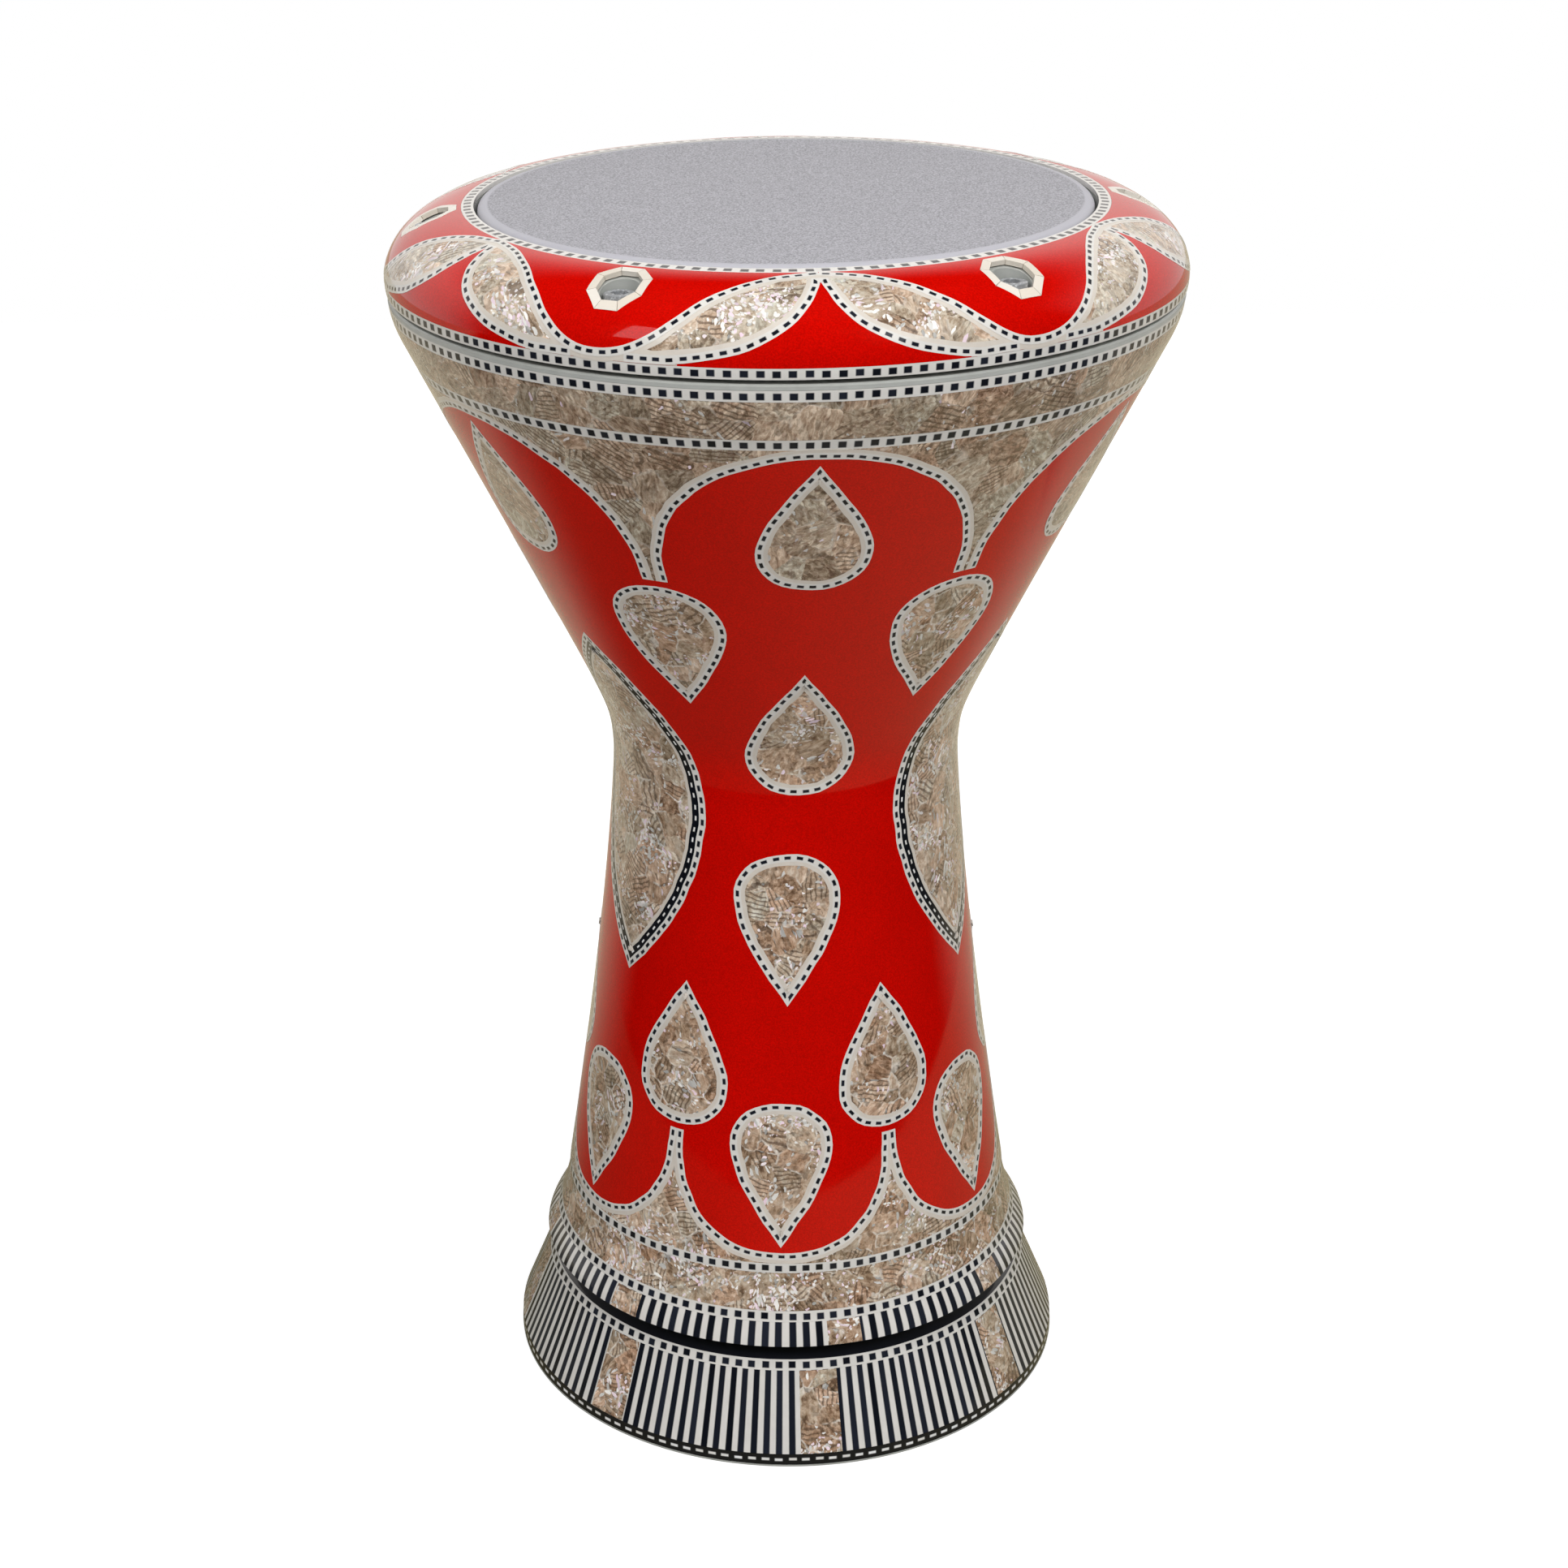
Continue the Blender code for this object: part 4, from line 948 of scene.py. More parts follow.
class DRUM_OT_casting(PieceOperator):
    """Cast shell under the inlay: foot, stem, bowl, web, bearing edge and tapped bosses"""
    bl_idname = "drum.casting"
    bl_label = "Shell casting"

    wall = 4.0
    film_play = 0.6         # between the bearing edge and the film over it
    edge_width = 5.0        # of the bearing edge
    edge_round = 3.0
    web = 6.2               # how far the web reaches down from the bowl's top
    boss_drop = 16.1        # from the bowl's top to the bosses' undersides

    def execute(self, context):
        self.prepare(context)
        shell, ring = self.shell, self.ring
        edge = box_size("drumhead_film", 0, 1) - self.film_play
        top = self.sizes.height - self.film_play
        bend = self.edge_round
        section = [(edge - self.edge_width, top)]
        section += [(edge - bend + bend * sin(turn), top - bend + bend * cos(turn))
                    for turn in spread(0, pi / 2, 7)]
        section.append((edge, shell.bowl_top))
        section.append((shell.radius(shell.bowl_top) - 0.6, shell.bowl_top))
        section.append((shell.radius(shell.bowl_top), shell.bowl_top - 0.6))
        section.append((shell.radius(shell.bowl_top), shell.upper_border[1] + 0.05))
        heights = spread(shell.upper_border[1], shell.lower_border_top, 60)
        heights += [shell.stem_base, shell.lower_pearl_top - 6, shell.lip_border_top, shell.lip_band_top]
        section += [shell.section(height, -CAST_DEPTH) for height in heights]
        section.append(shell.section(shell.lip_height + 1.6, -2.3))
        floor = shell.foot_top_radius - shell.groove_depth - 1.5
        section += [(floor, shell.lip_height - 1.4), (floor, shell.foot_top + 2.4)]
        section += [shell.section(shell.foot_top - 1.0, -CAST_DEPTH), shell.section(5.6, -CAST_DEPTH)]
        section += [(shell.foot_radius - CAST_DEPTH, 1.0), (shell.foot_radius, 0.9), (shell.foot_radius, 0.3),
                    (shell.foot_radius - 0.3, 0.0)]
        inside = CAST_DEPTH + self.wall
        section += [(shell.foot_radius - inside, 0.0), (floor - 3.0, shell.foot_top),
                    (floor - 4.0, shell.lip_band_top)]
        section += [shell.section(height, -inside)
                    for height in spread(shell.stem_base, shell.bowl_top - 13.0, 50)]
        web_low = shell.bowl_top - self.web
        section.append((shell.section(web_low, -inside)[0] - 3.4, web_low))
        section.append((edge - self.edge_width, web_low))
        casting = turned("shell_casting_dressed", section, self.steps)
        low = shell.bowl_top - self.boss_drop
        cut(casting, join(posts(ring, 7.0, low, low + 13.0, 40), "bosses"), "UNION")
        cut(casting, join(posts(ring, 3.05, low - 5.0, low + 25.0, 32), "holes"))
        dress(casting, "shell", "cast_aluminium", self.looks["aluminium"])
        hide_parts("shell_casting")
        return {"FINISHED"}


class DRUM_OT_red_field(PieceOperator):
    """Red resin of stem, neck and bowl"""
    bl_idname = "drum.red_field"
    bl_label = "Red field"

    def execute(self, context):
        self.prepare(context)
        shell = self.shell
        field = skin_band("resin_field", shell, shell.lower_border_top + SEAM, shell.arch_border[0] - SEAM,
                          SKIN_DEPTH, 110, self.steps)
        dress(field, "shell", "red_resin", self.looks["red"])
        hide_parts("resin_ground")
        return {"FINISHED"}


class DRUM_OT_bands(PieceOperator):
    """Borders, stripes, rim, cove and pearl bands round the shell"""
    bl_idname = "drum.bands"
    bl_label = "Shell bands"

    def execute(self, context):
        self.prepare(context)
        shell = self.shell
        # Name, look, low, high, tiles round the drum, slot and rows of faces
        bands = [
            ("upper_border_band", "border", *shell.upper_border, 170, "ivory_resin", 3),
            ("upper_pearl_band", "grey", shell.arch_border[1], shell.upper_border[0], 60,
             "mother_of_pearl", 6),
            ("arch_border_band", "border", *shell.arch_border, 161, "ivory_resin", 3),
            ("lower_border_band", "border", shell.lower_pearl_top, shell.lower_border_top, 106,
             "ivory_resin", 3),
            ("lower_pearl_band", "warm", shell.lip_border_top, shell.lower_pearl_top, 60,
             "mother_of_pearl", 8),
            ("lip_border_band", "border", shell.lip_band_top, shell.lip_border_top, 110, "ivory_resin", 3),
            ("lip_stripe_band", "stripe", shell.lip_height, shell.lip_band_top, 114, "ivory_resin", 6),
            ("foot_border_band", "border", shell.foot_top - shell.border, shell.foot_top, 116,
             "ivory_resin", 3),
            ("foot_stripe_band", "stripe", shell.foot_rim, shell.foot_top - shell.border, 139,
             "ivory_resin", 6),
            ("foot_rim_band", "rim", 1.0, shell.foot_rim, 132, "black_resin", 4),
        ]
        for name, look, low, high, count, slot, rows in bands:
            band = skin_band(name + "_dressed", shell, low + SEAM, high - SEAM, SKIN_DEPTH, rows, self.steps)
            wrap_uv(band, shell, count, low, high)
            dress(band, "shell", slot, self.looks[look])
            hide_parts(name)
        heights = spread(shell.foot_top + SEAM, shell.lip_height - SEAM, 13)
        section = [(shell.radius(height), height) for height in heights]
        inner = shell.foot_top_radius - shell.groove_depth - 1.2
        section += [(shell.foot_top_radius - 1.0, heights[-1]), (inner, heights[-1] - 1.6),
                    (inner, heights[0] + 2.4), (shell.foot_top_radius - 1.6, heights[0])]
        cove = turned("cove_dressed", section, self.steps)
        dress(cove, "shell", "black_resin", self.looks["cove"])
        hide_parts("groove_band")
        return {"FINISHED"}


class DRUM_OT_plaques(PieceOperator):
    """Pearl plaques set in the lip's and the foot's stripes"""
    bl_idname = "drum.plaques"
    bl_label = "Plaques"

    def execute(self, context):
        self.prepare(context)
        shell = self.shell
        # Name, azimuths as in the photo in front and guessed at the back, width, low and high
        rows = [("lip", (-40.6, 13.6, 56.9, 102, 147, 190, 234, 277), 12.5, shell.lip_height,
                 shell.lip_band_top),
                ("foot", (-40.0, 7.3, 54.3, 99, 143, 187, 231, 275), 14.5, shell.foot_rim,
                 shell.foot_top - shell.border)]
        for stem, places, width, low, high in rows:
            half = width / 2 / (radians(1) * shell.radius(0.5 * (low + high)))
            side = [(half, height) for height in spread(low + 0.1, high - 0.1, 12)]
            plaque = ruled_plate("plaque", shell, mirrored(side), side, 10)
            for copy, in repeat([plaque], stem, places):
                dress(copy, "shell", "mother_of_pearl", self.looks["warm"])
        return {"FINISHED"}


class DRUM_OT_bowl_inlay(PieceOperator):
    """Arches of the bowl with the pearl between them, their drops and the drops under their feet"""
    bl_idname = "drum.bowl_inlay"
    bl_label = "Bowl inlay"

    half_angle = 28.3       # of an arch, in degrees
    height = 50.6           # of an arch's round part
    crown_gap = 2.1         # between an arch's crown and the border over it
    foot_length = 1.5       # of an arch's straight end

    def execute(self, context):
        self.prepare(context)
        shell, sizes = self.shell, self.sizes
        crown = shell.arch_border[0] - self.crown_gap
        foot = crown - self.height
        end = foot - self.foot_length
        rise = [(self.half_angle * cos(turn), foot + self.height * sin(turn))
                for turn in spread(0.0, pi / 2, 26)]
        side = [(HALF_STEP - azimuth, along) for azimuth, along in rise]
        side = [(side[0][0], end)] + side + [(HALF_STEP, shell.arch_border[0])]
        spandrel = ruled_plate("pearl", shell, mirrored(side), side, 56)
        arch = mirrored(rise) + rise[-2::-1]
        arch = [(-self.half_angle, end)] + arch + [(self.half_angle, end)]
        edging = join(lined_strip(shell, arch, sizes, 1), "edging")
        edging.data.transform(Matrix.Rotation(radians(-HALF_STEP), 4, "Z"))
        self.motif([spandrel, edging], "arch", azimuths(MOTIF_AZIMUTH + HALF_STEP), "pearl_spandrel", "grey")
        drop = edged_plate(shell, drop_side(shell, crown - 5.0, foot - 1.3, 18.4), sizes, 16)
        self.motif(drop, "arch_drop", azimuths(5.0), "arch_drop", "grey")
        drop = edged_plate(shell, drop_side(shell, foot - 52.5, foot - 4.5, 20.0), sizes, 16)
        self.motif(drop, "foot_drop", azimuths(-25.0))
        return {"FINISHED"}


class DRUM_OT_neck_inlay(PieceOperator):
    """Leaves round the neck and the drops between them"""
    bl_idname = "drum.neck_inlay"
    bl_label = "Neck inlay"

    def execute(self, context):
        self.prepare(context)
        shell, sizes = self.shell, self.sizes
        half_angle, middle, half_length = 27.8, 239.0, 66.0
        side = [(half_angle * (1.0 - share * share), middle + half_length * share)
                for share in spread(-1.0, 1.0, 49)]
        leaf = edged_plate(shell, side, sizes, 20, inner_strip=True)
        self.motif(leaf, "neck_leaf", azimuths(65.3, 3), "neck_leaf")
        drop = edged_plate(shell, drop_side(shell, 301.8, 251.4, 18.4), sizes, 16)
        self.motif(drop, "neck_drop", azimuths(4.5, 3))
        return {"FINISHED"}


class DRUM_OT_stem_inlay(PieceOperator):
    """Drops of the stem and the inverted arches over its foot"""
    bl_idname = "drum.stem_inlay"
    bl_label = "Stem inlay"

    def execute(self, context):
        self.prepare(context)
        shell, sizes = self.shell, self.sizes
        # Name, height of the tip and of the heel, half width, azimuth of the first and count
        rows = [("stem_drop", 173.0, 228.0, 18.5, 0.6, 3), ("side_drop", 176.0, 122.7, 18.0, 29.3, 6),
                ("low_drop", 81.0, 134.8, 18.1, -1.2, 6)]
        for stem, tip, heel, half_width, shift, count in rows:
            drop = edged_plate(shell, drop_side(shell, tip, heel, half_width), sizes, 16)
            self.motif(drop, stem, azimuths(shift, count))
        half_angle, foot, depth, power = 28.9, 120.0, 43.4, 2 / 2.3
        rise = [(half_angle * max(0.0, cos(turn)) ** power, foot - depth * sin(turn) ** power)
                for turn in spread(0.0, pi / 2, 26)]
        side = [(HALF_STEP - azimuth, along) for azimuth, along in rise]
        side.append((HALF_STEP, shell.lower_border_top))
        pearl_plate = ruled_plate("pearl", shell, mirrored(side), side, 40)
        arch = mirrored(rise) + rise[-2::-1]
        edging = join(lined_strip(shell, arch, sizes, -1), "edging")
        edging.data.transform(Matrix.Rotation(radians(-HALF_STEP), 4, "Z"))
        self.motif([pearl_plate, edging], "low_arch", azimuths(29.0))
        return {"FINISHED"}


# Pieces of the ring

class DRUM_OT_ring_casting(PieceOperator):
    """Cast tuning ring with its rim, bosses and screw pockets"""
    bl_idname = "drum.ring_casting"
    bl_label = "Ring casting"

    wall = 6.5
    rim_width = 5.6
    hoop_top = 12.7         # from the head down to the hoop's top face, with its play
    boss = (9.0, 424.0, 434.0)          # radius, low, high
    pocket = (6.3, 432.5, 460.0)
    clearance = (3.3, 420.0, 434.0)

    def execute(self, context):
        self.prepare(context)
        ring, wall = self.ring, self.wall
        rim = ring.inner + self.rim_width
        hoop = self.sizes.height - self.hoop_top
        start = ring.angle_at(ring.inner)
        skirt = ring.skirt_angle(ring.bottom)
        section = [(ring.inner, ring.at(start, -CAST_DEPTH)[1])]
        section += [ring.at(angle, -CAST_DEPTH) for angle in spread(start - 1.0, 0.0, 28)]
        section.append((ring.at(skirt, -CAST_DEPTH)[0], ring.bottom + 0.02))
        section.append((ring.at(skirt, -wall)[0], ring.bottom + 0.02))
        inner = [ring.at(angle, -wall) for angle in spread(0.0, 80.0, 24)]
        section += [point for point in inner if point[0] > rim + 0.5]
        share = (rim - ring.centre[0]) / (ring.reach - wall)
        section.append((rim, ring.centre[1] + (ring.rise - wall) * sqrt(1.0 - share * share)))
        section += [(rim, hoop), (ring.inner, hoop)]
        casting = turned("tuning_ring_dressed", section, self.steps)
        bosses = join(posts(ring, *self.boss, 40, end_fill_type="TRIFAN"), "bosses")
        select_only(bosses)
        bpy.ops.object.transform_apply()
        for vertex in bosses.data.vertices:
            if vertex.co.z > self.boss[2] * MM - MM:
                reach = min(hypot(vertex.co.x, vertex.co.y) / MM + 1.5, 132.0)
                vertex.co.z = ring.height_over(reach, -4.4) * MM
        cut(casting, bosses, "UNION")
        cut(casting, join(posts(ring, *self.pocket, 48), "pockets"))
        cut(casting, join(posts(ring, *self.clearance, 48), "clearances"))
        dress(casting, "ring", "cast_aluminium", self.looks["aluminium"])
        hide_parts("tuning_ring")
        return {"FINISHED"}


class DRUM_OT_ring_skin(PieceOperator):
    """Ring's tile borders and its red resin, open at the screw windows"""
    bl_idname = "drum.ring_skin"
    bl_label = "Ring skin"

    def execute(self, context):
        self.prepare(context)
        ring = self.ring
        border_end = ring.along(*ring.at(ring.angle_at(ring.inner + 4.2), 0.0))
        seam = 0.02
        # Name, start, end, tiles round the ring and rows of faces
        bands = [("ring_inner_border", 0.0, border_end, 135, 3),
                 ("ring_lower_border", ring.band_top, ring.skirt, 172, 4)]
        for name, low, high, count, rows in bands:
            band = skin_band(name + "_dressed", ring, low + seam, high - seam, SKIN_DEPTH, rows, self.steps)
            wrap_uv(band, ring, count, low, high)
            dress(band, "ring", "ivory_resin", self.looks["border"])
            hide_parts(name)
        field = skin_band("ring_field", ring, border_end + SEAM, ring.band_top - SEAM, SKIN_DEPTH, 30,
                          self.steps)
        cut(field, join(posts(ring, 10.3, 420.0, 460.0, 8, 22.5), "seats"))
        dress(field, "ring", "red_resin", self.looks["red"])
        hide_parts("ring_resin_ground")
        return {"FINISHED"}


class DRUM_OT_ring_inlay(PieceOperator):
    """Pearl petals of the ring, with the scallops and triangles of dashed strip that bound them"""
    bl_idname = "drum.ring_inlay"
    bl_label = "Ring inlay"

    def execute(self, context):
        self.prepare(context)
        ring, sizes = self.ring, self.sizes
        # Curves of (azimuth from the screw, along): the scallop over a petal and the petal's lower side
        scallop = [bezier((HALF_STEP, 5.5), (12.0, 10.0), (10.5, 40.5), (0.0, 40.5), share)
                   for share in spread(0.0, 1.0, 30)]
        upper = [(HALF_STEP - away, along) for away, along in scallop]
        rise = [bezier((0.8, 10.0), (1.6, 24.0), (5.5, 37.5), (20.0, 41.0), share)
                for share in spread(0.0, 1.0, 22)]
        lower = rise + [(20.0 + step, 41.2) for step in spread(1.0, 10.0, 8)]
        right = ruled_plate("pearl", ring, lower, upper, 14)
        left = ruled_plate("pearl_left", ring, mirrored(upper), mirrored(lower), 14)
        for side, plate in (("right", right), ("left", left)):
            for index, azimuth in enumerate(azimuths(MOTIF_AZIMUTH)):
                copy = turned_copy(plate, f"petal_{side}_{index + 1}", azimuth)
                dress(copy, "ring", "mother_of_pearl", self.looks["bright"])
                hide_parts(f"ring_petal_{side}_{index + 1}")
            bpy.data.objects.remove(plate)
        swag = scallop + mirrored(scallop)[-2::-1]
        foot = [point for point in swag if abs(point[0]) < 11.5]
        below = [(azimuth, ring.band_top - 0.1) for azimuth, _ in foot]
        under = ruled_plate("under", ring, foot, below, 4, 0.03)
        under.data.materials.append(self.looks["filler"])
        triangle = mirrored(lower[:-3])[::-1] + lower[:-3]
        scallops = lined_strip(ring, swag, sizes, -1, STRIP_LIFT + 0.05) + [under]
        triangles = lined_strip(ring, triangle, sizes, -1)
        for stem, parts, places in (("scallop", scallops, azimuths(SCREW_AZIMUTH)),
                                    ("triangle", triangles, azimuths(MOTIF_AZIMUTH))):
            for copy, in repeat([join(parts, "edging")], stem, places):
                dress(copy, "ring", "ivory_resin")
        return {"FINISHED"}


class DRUM_OT_windows(PieceOperator):
    """Eight cream tiles round each screw window"""
    bl_idname = "drum.windows"
    bl_label = "Screw windows"

    inner = 7.3             # from the screw's axis to the tiles' inner corners
    outer = 10.25
    corner = 22.5           # azimuth of the first corner

    def execute(self, context):
        self.prepare(context)
        ring = self.ring
        tiles = []
        centre = polar(0.0, ring.bolt_circle, 0.0) / MM
        for side in range(8):
            tile = grid("tile", 4, 3)

            def place(column, row, side=side):
                reach = self.inner + (self.outer - self.inner) * row / 3
                turns = [radians(self.corner + 45.0 * corner) for corner in (side, side + 1)]
                ends = [Vector((centre.x + reach * cos(turn), centre.y + reach * sin(turn)))
                        for turn in turns]
                share = 0.015 + 0.97 * column / 4
                point = ends[0].lerp(ends[1], share)
                height = ring.height_over(point.length, 0.04)
                return Vector((point.x, point.y, height)) * MM

            place_grid(tile, 4, 3, place, lambda column, row, side=side: (side + 0.5, row / 3))
            tiles.append(close_sheet(tile, 1.6))
        windows = repeat([join(tiles, "tiles")], "window", azimuths(SCREW_AZIMUTH))
        for index, (window,) in enumerate(windows):
            for loop in window.data.uv_layers[0].data:
                loop.uv = (loop.uv[0] + 8 * index, loop.uv[1])
            dress(window, "ring", "ivory_resin", self.looks["cream"])
            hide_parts(f"window_frame_{index + 1}")
        return {"FINISHED"}


class DRUM_OT_hoop(PieceOperator):
    """Flesh hoop under the ring's rim"""
    bl_idname = "drum.hoop"
    bl_label = "Flesh hoop"

    def execute(self, context):
        self.prepare(context)
        low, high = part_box("flesh_hoop")
        inner = box_size("drumhead_film", 0, 1) + 0.7
        outer, bottom, top = high[0] / MM, low[2] / MM, high[2] / MM
        edge = 0.5
        section = [(outer, bottom + edge), (outer, top - edge), (outer - edge, top), (inner + edge, top),
                   (inner, top - edge), (inner, bottom + edge), (inner + edge, bottom),
                   (outer - edge, bottom)]
        hoop = turned("flesh_hoop_dressed", section, self.steps)
        dress(hoop, "ring", "cast_aluminium", self.looks["aluminium"])
        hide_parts("flesh_hoop")
        return {"FINISHED"}


class DRUM_OT_head(PieceOperator):
    """Film over the bearing edge, with its skirt"""
    bl_idname = "drum.head"
    bl_label = "Drum head"

    def execute(self, context):
        self.prepare(context)
        low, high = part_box("drumhead_film")
        outer, top, bottom = high[0] / MM, high[2] / MM, low[2] / MM
        thick, bend, flat = 0.4, 2.6, 96.0
        section = [(0.0, top)] + [(radius, top) for radius in spread(12.0, flat, 12)]
        section += [(outer - bend + bend * sin(turn), top - bend + bend * cos(turn))
                    for turn in spread(0.0, pi / 2, 9)]
        section += [(outer, bottom), (outer - thick, bottom)]
        inner = bend - thick
        section += [(outer - bend + inner * sin(turn), top - bend + inner * cos(turn))
                    for turn in spread(pi / 2, 0.0, 9)]
        section += [(radius, top - thick) for radius in spread(flat, 12.0, 12)] + [(0.0, top - thick)]
        film = turned("drumhead_film_dressed", section, self.steps)
        dress(film, "shell", "polyester_film", self.looks["film"])
        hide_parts("drumhead_film")
        return {"FINISHED"}


class DRUM_OT_screws(PieceOperator):
    """Six socket screws with round heads, hexagon sockets and rolled threads"""
    bl_idname = "drum.screws"
    bl_label = "Tuning screws"

    head_radius = 5.0
    head_height = 6.0
    seat_drop = 12.4        # from the head of the drum down to the seats, with the screws' play
    shank = 2.85            # radius over the thread
    length = 30.0
    plain = 6.0             # from the seat to the thread
    threads = 23
    pitch = 1.0
    thread_depth = 0.35
    key_width = 5.0
    socket_depth = 3.2

    def execute(self, context):
        self.prepare(context)
        seat = self.sizes.height - self.seat_drop
        top = seat + self.head_height
        radius, shank, end = self.head_radius, self.shank, seat - self.length
        root = shank - self.thread_depth
        rows = [(0.0, top), (radius - 0.5, top), (radius - 0.15, top - 0.15), (radius, top - 0.5),
                (radius, seat + 0.2), (radius - 0.2, seat), (shank, seat)]
        for turn in range(self.threads):
            groove = seat - self.plain - turn * self.pitch
            rows += [(shank, groove + 0.4), (root, groove + 0.1), (root, groove - 0.1), (shank, groove - 0.4)]
        rows += [(shank, end + 0.5), (shank - 0.6, end), (0.0, end)]
        axis = (0.0, -self.ring.bolt_circle)
        screw = turned("screw", rows, 56, axis)
        select_only()
        bpy.ops.mesh.primitive_cylinder_add(vertices=6, radius=self.key_width / 2 / cos(pi / 6) * MM,
                                            depth=2 * self.socket_depth * MM,
                                            location=(0.0, axis[1] * MM, top * MM))
        cut(screw, bpy.context.object)
        for index, (copy,) in enumerate(repeat([screw], "tuning", azimuths(SCREW_AZIMUTH))):
            dress(copy, f"bolt_{index + 1}", "blackened_steel", self.looks["steel"])
            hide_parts(f"tuning_bolt_{index + 1}")
        return {"FINISHED"}


class DRUM_OT_stage(bpy.types.Operator):
    """White table and backdrop, soft light and the camera"""
    bl_idname = "drum.stage"
    bl_label = "Stage"
    bl_options = {"REGISTER", "UNDO"}

    def execute(self, context):
        settings = context.scene.drum_stage
        scene = context.scene
        scene.view_settings.view_transform = "Standard"
        self.floor()
        self.world(scene, settings)
        self.flags(settings)
        self.lamps(settings)
        self.camera(scene, settings)
        return {"FINISHED"}

    def floor(self):
        """A white sweep that still takes the drum's shadow, and glows more away from the drum."""
        near, far, near_glow, far_glow = 0.5, 1.2, 0.74, 0.86
        select_only()
        bpy.ops.mesh.primitive_grid_add(x_subdivisions=12, y_subdivisions=12, size=3.2)
        floor = name_it(bpy.context.object, "floor")
        material = bpy.data.materials.new("white_table")
        material.use_nodes = True
        tree = material.node_tree
        shader = tree.nodes["Principled BSDF"]
        shader.inputs["Base Color"].default_value = (0.6, 0.6, 0.6, 1.0)
        shader.inputs["Roughness"].default_value = 0.9
        shader.inputs["Specular IOR Level"].default_value = 0.0
        matt = shader.outputs[0]
        place = add_node(tree, "TexCoord", out="Object")
        reach = add_node(tree, "VectorMath", (place,), "Value", operation="LENGTH")
        level = add_node(tree, "MapRange", (reach, near, far, near_glow, far_glow), 0)
        glow = add_node(tree, "Emission", (WHITE, level), 0)
        lit = add_node(tree, "AddShader", (matt, glow), 0)
        white = add_node(tree, "Emission", (WHITE, 1.0), 0)
        path = add_node(tree, "LightPath").outputs
        unshaded = add_node(tree, "Math", (path["Is Glossy Ray"], path["Is Transmission Ray"]), 0,
                            operation="MAXIMUM")
        plain = add_node(tree, "MixShader", (path["Is Camera Ray"], matt, lit), 0)
        surface = add_node(tree, "MixShader", (unshaded, plain, white), 0)
        tree.links.new(surface, tree.nodes["Material Output"].inputs["Surface"])
        floor.data.materials.append(material)

    def world(self, scene, settings):
        """A sky that is dim on matt surfaces, and white to the camera, in the gloss and through glass."""
        world = bpy.data.worlds.new("studio")
        scene.world = world
        world.use_nodes = True
        tree = world.node_tree
        path = add_node(tree, "LightPath").outputs
        seen = add_node(tree, "Math", (path["Is Camera Ray"], path["Is Glossy Ray"]), 0, operation="MAXIMUM")
        seen = add_node(tree, "Math", (seen, path["Is Transmission Ray"]), 0, operation="MAXIMUM")
        strength = add_node(tree, "MapRange", {0: seen, 3: settings.ambient, 4: 1.0}, 0)
        back = tree.nodes["Background"]
        back.inputs["Color"].default_value = WHITE
        tree.links.new(strength, back.inputs["Strength"])

    def only_reflected(self, obj, name, glowing):
        """Makes obj a card that only shiny surfaces see; glowing(tree, x, y, z) gives its colour."""
        material = bpy.data.materials.new(name)
        material.use_nodes = True
        tree = material.node_tree
        place = add_node(tree, "TexCoord", out="Object")
        split = add_node(tree, "SeparateXYZ", (place,))
        glow = add_node(tree, "Emission", (glowing(tree, *split.outputs),), 0)
        tree.links.new(glow, tree.nodes["Material Output"].inputs["Surface"])
        obj.data.materials.append(material)
        obj.visible_camera = False
        obj.visible_diffuse = False
        obj.visible_shadow = False
        obj.visible_transmission = False

    def flags(self, settings):
        """What the lacquer mirrors: a pale round table, the sweep and wall behind it, a dark room."""
        reach = 4.0
        eased = {"interpolation_type": "SMOOTHSTEP"}
        blend = {"data_type": "RGBA"}

        def table_glow(tree, x, y, _):
            square = add_node(tree, "Math", (x, x), 0, operation="MULTIPLY")
            square = add_node(tree, "Math", (y, y, square), 0, operation="MULTIPLY_ADD")
            radius = add_node(tree, "Math", (square,), 0, operation="SQRT")
            edge, soft, gloss = settings.table_radius, 0.004, settings.table_gloss
            inside = add_node(tree, "MapRange", (radius, edge + soft, edge - soft), 0, **eased)
            lean = add_node(tree, "MapRange", (x, -0.3, 0.3), 0, **eased)
            level = add_node(tree, "Math", (lean, gloss, gloss * 0.4), 0, operation="MULTIPLY_ADD")
            near = add_node(tree, "Math", (inside, level), 0, operation="MULTIPLY")
            table = add_node(tree, "Mix", {0: near, 6: BLACK, 7: (1.0, 0.88, 0.5)}, 2, **blend)
            behind = add_node(tree, "MapRange", (y, 0.02, 0.32), 0, **eased)
            sweep = [settings.sweep_gloss * part for part in (1.0, 0.88, 0.64)]
            return add_node(tree, "Mix", {0: behind, 6: table, 7: sweep}, 2, **blend)

        def room_glow(tree, _, y, z):
            behind = add_node(tree, "MapRange", (y, -0.1 * reach, 0.35 * reach), 0, **eased)
            low = add_node(tree, "MapRange", (z, 0.80 * reach, 0.50 * reach), 0, **eased)
            share = add_node(tree, "Math", (behind, low), 0, operation="MULTIPLY")
            wall = [settings.wall_gloss * part for part in (1.0, 0.95, 0.9)]
            return add_node(tree, "Mix", {0: share, 6: BLACK, 7: wall}, 2, **blend)

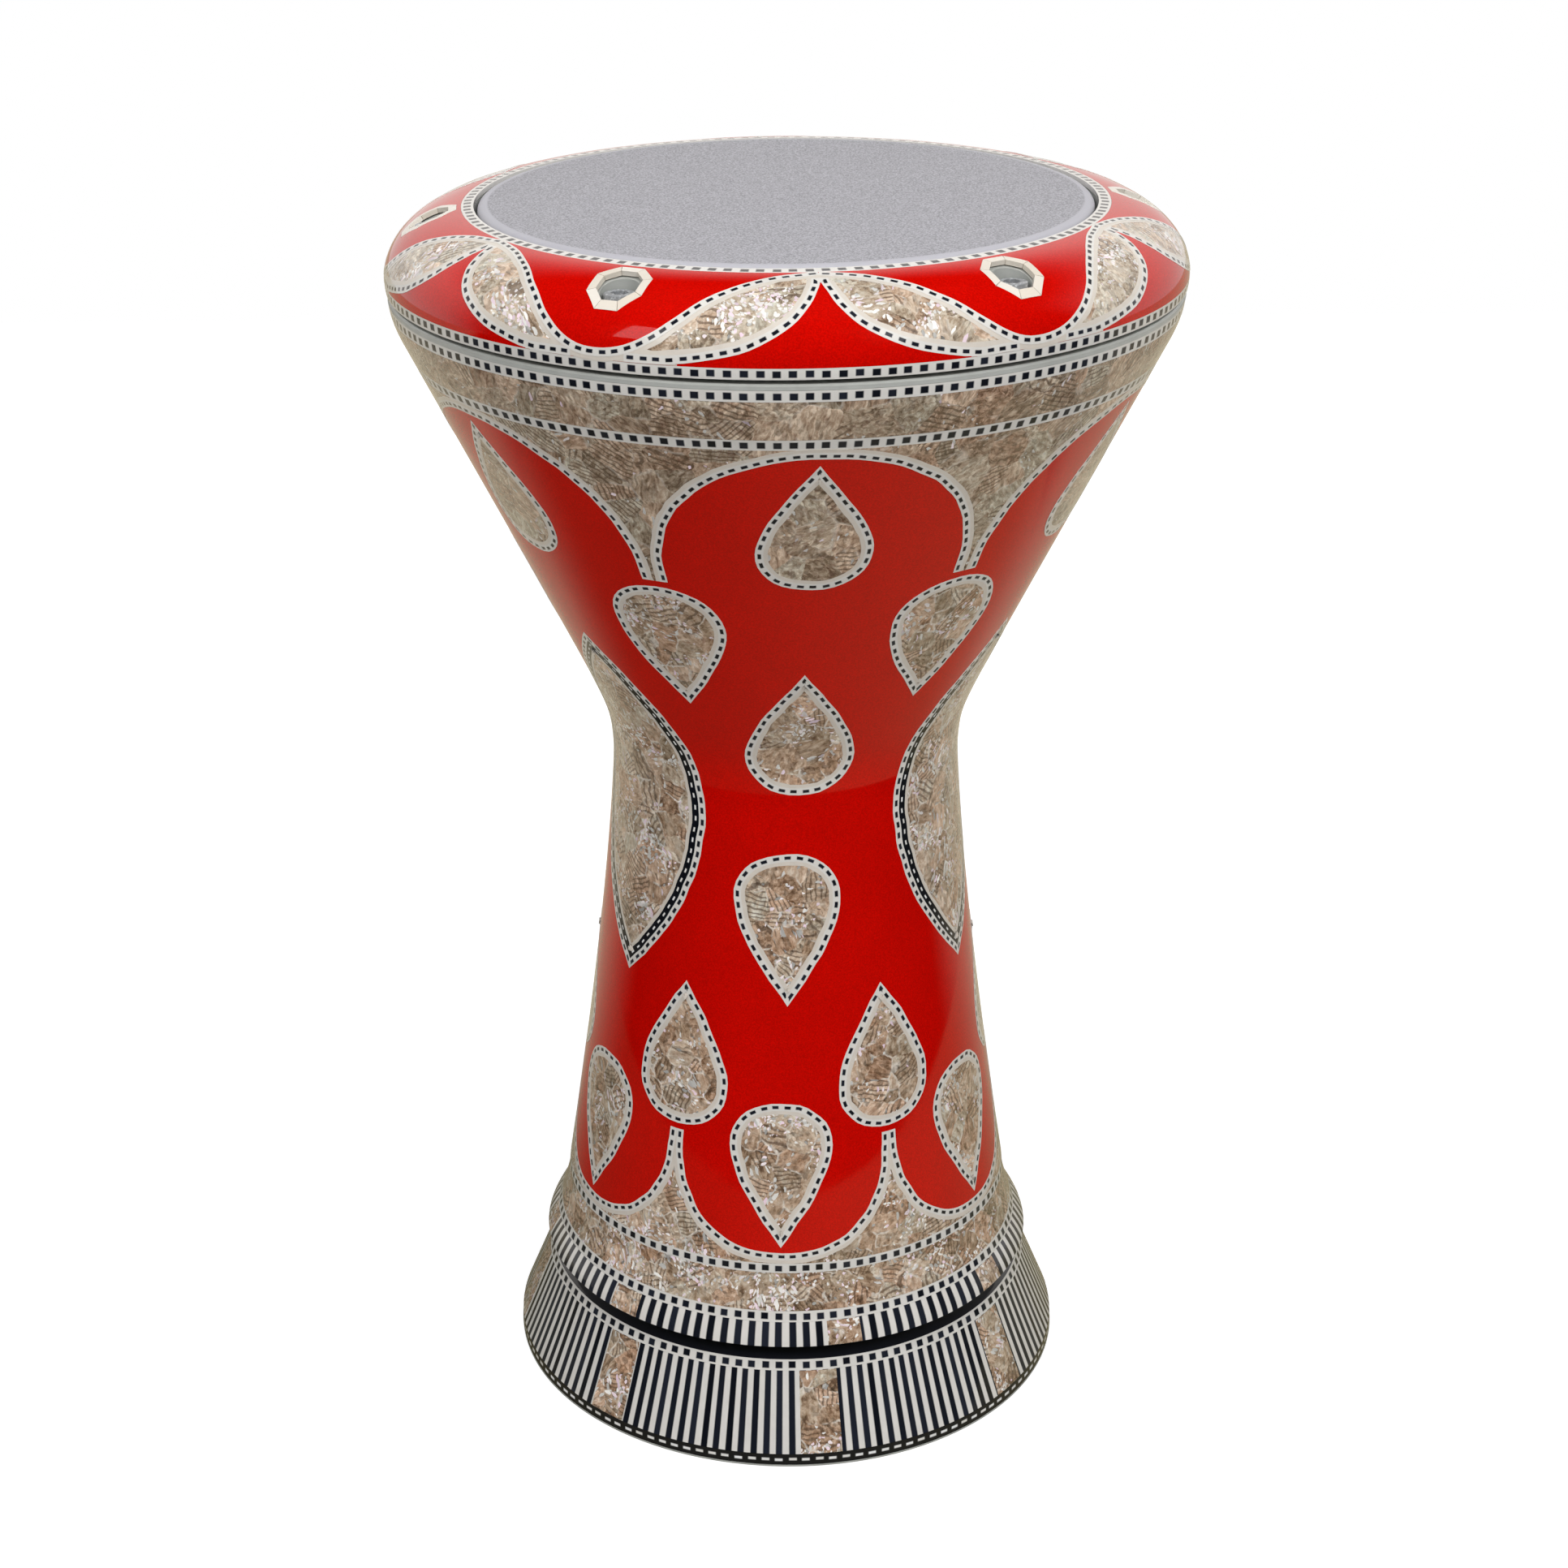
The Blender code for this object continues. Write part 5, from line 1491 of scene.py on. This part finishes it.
        select_only()
        bpy.ops.mesh.primitive_grid_add(x_subdivisions=8, y_subdivisions=8, size=2 * reach,
                                        location=(0.0, 0.0, 0.0002))
        card = name_it(bpy.context.object, "table_card")
        bpy.ops.object.transform_apply()
        self.only_reflected(card, "table_card_cloth", table_glow)
        select_only()
        bpy.ops.mesh.primitive_uv_sphere_add(segments=72, ring_count=36, radius=reach)
        room = name_it(bpy.context.object, "room_card")
        edit_all(room)
        bpy.ops.mesh.bisect(plane_co=(0.0, 0.0, 0.0), plane_no=(0.0, 0.0, 1.0), clear_inner=True)
        bpy.ops.mesh.select_all(action="SELECT")
        bpy.ops.mesh.flip_normals()
        bpy.ops.object.mode_set(mode="OBJECT")
        self.only_reflected(room, "room_card_cloth", room_glow)

    def lamp(self, name, place, target, size, power):
        data = bpy.data.lights.new(name, "AREA")
        data.shape = "RECTANGLE"
        data.size, data.size_y = size
        data.energy = power
        lamp = bpy.data.objects.new(name, data)
        bpy.context.scene.collection.objects.link(lamp)
        lamp.location = place
        lamp.rotation_euler = (Vector(target) - Vector(place)).to_track_quat("-Z", "Y").to_euler()
        return lamp

    def lamps(self, settings):
        target = (0.0, 0.0, 0.25)
        for side, power in ((-1.0, settings.fill_power), (1.0, settings.key_power)):
            soft = self.lamp("softbox", (side, -1.2, 1.75), target, (1.0, 1.2), power)
            soft.visible_glossy = False
            self.lamp("glint_box", (side * 0.95, -1.1, 1.6), target, (0.55, 0.65), settings.glint_power)
        top = self.lamp("top_light", (0.0, 0.1, 2.0), target, (1.4, 1.4), settings.top_power)
        top.visible_glossy = False

    def camera(self, scene, settings):
        pitch, yaw, roll = settings.camera_pitch, settings.camera_yaw, settings.camera_roll
        ahead = Vector((sin(yaw) * cos(pitch), cos(yaw) * cos(pitch), -sin(pitch)))
        right = Vector((cos(yaw), -sin(yaw), 0.0))
        up = right.cross(ahead)
        right, up = cos(roll) * right + sin(roll) * up, -sin(roll) * right + cos(roll) * up
        data = bpy.data.cameras.new("photo_camera")
        data.lens = settings.camera_lens
        data.sensor_width = 36.0
        data.shift_x = settings.camera_shift
        data.clip_start = 0.05
        camera = bpy.data.objects.new("photo_camera", data)
        scene.collection.objects.link(camera)
        turn = Matrix((right, up, -ahead)).transposed().to_4x4()
        camera.matrix_world = Matrix.Translation(settings.camera_place) @ turn
        scene.camera = camera


OPERATORS = (DRUM_OT_stage, DRUM_OT_casting, DRUM_OT_red_field, DRUM_OT_bands, DRUM_OT_plaques,
             DRUM_OT_bowl_inlay, DRUM_OT_neck_inlay, DRUM_OT_stem_inlay, DRUM_OT_ring_casting,
             DRUM_OT_ring_skin, DRUM_OT_ring_inlay, DRUM_OT_windows, DRUM_OT_hoop, DRUM_OT_head,
             DRUM_OT_screws)


class DRUM_PT_sidebar(bpy.types.Panel):
    """Lists the drum's pieces and settings"""
    bl_idname = "DRUM_PT_sidebar"
    bl_label = "Goblet drum"
    bl_space_type = "VIEW_3D"
    bl_region_type = "UI"
    bl_category = "Drum"

    def draw(self, context):
        layout = self.layout
        for group in (context.scene.drum_sizes, context.scene.drum_colours, context.scene.drum_stage):
            box = layout.box()
            for key in group.__annotations__:
                box.prop(group, key)
        for operator in OPERATORS:
            layout.operator(operator.bl_idname)


CLASSES = (DrumSizes, DrumColours, StageSettings, *OPERATORS, DRUM_PT_sidebar)


def register():
    for each in CLASSES:
        bpy.utils.register_class(each)
    bpy.types.Scene.drum_sizes = PointerProperty(type=DrumSizes)
    bpy.types.Scene.drum_colours = PointerProperty(type=DrumColours)
    bpy.types.Scene.drum_stage = PointerProperty(type=StageSettings)


def unregister():
    del bpy.types.Scene.drum_stage
    del bpy.types.Scene.drum_colours
    del bpy.types.Scene.drum_sizes
    for each in reversed(CLASSES):
        bpy.utils.unregister_class(each)


def main():
    register()
    for operator in OPERATORS:
        space, name = operator.bl_idname.split(".")
        getattr(getattr(bpy.ops, space), name)()


if __name__ == "__main__":
    main()
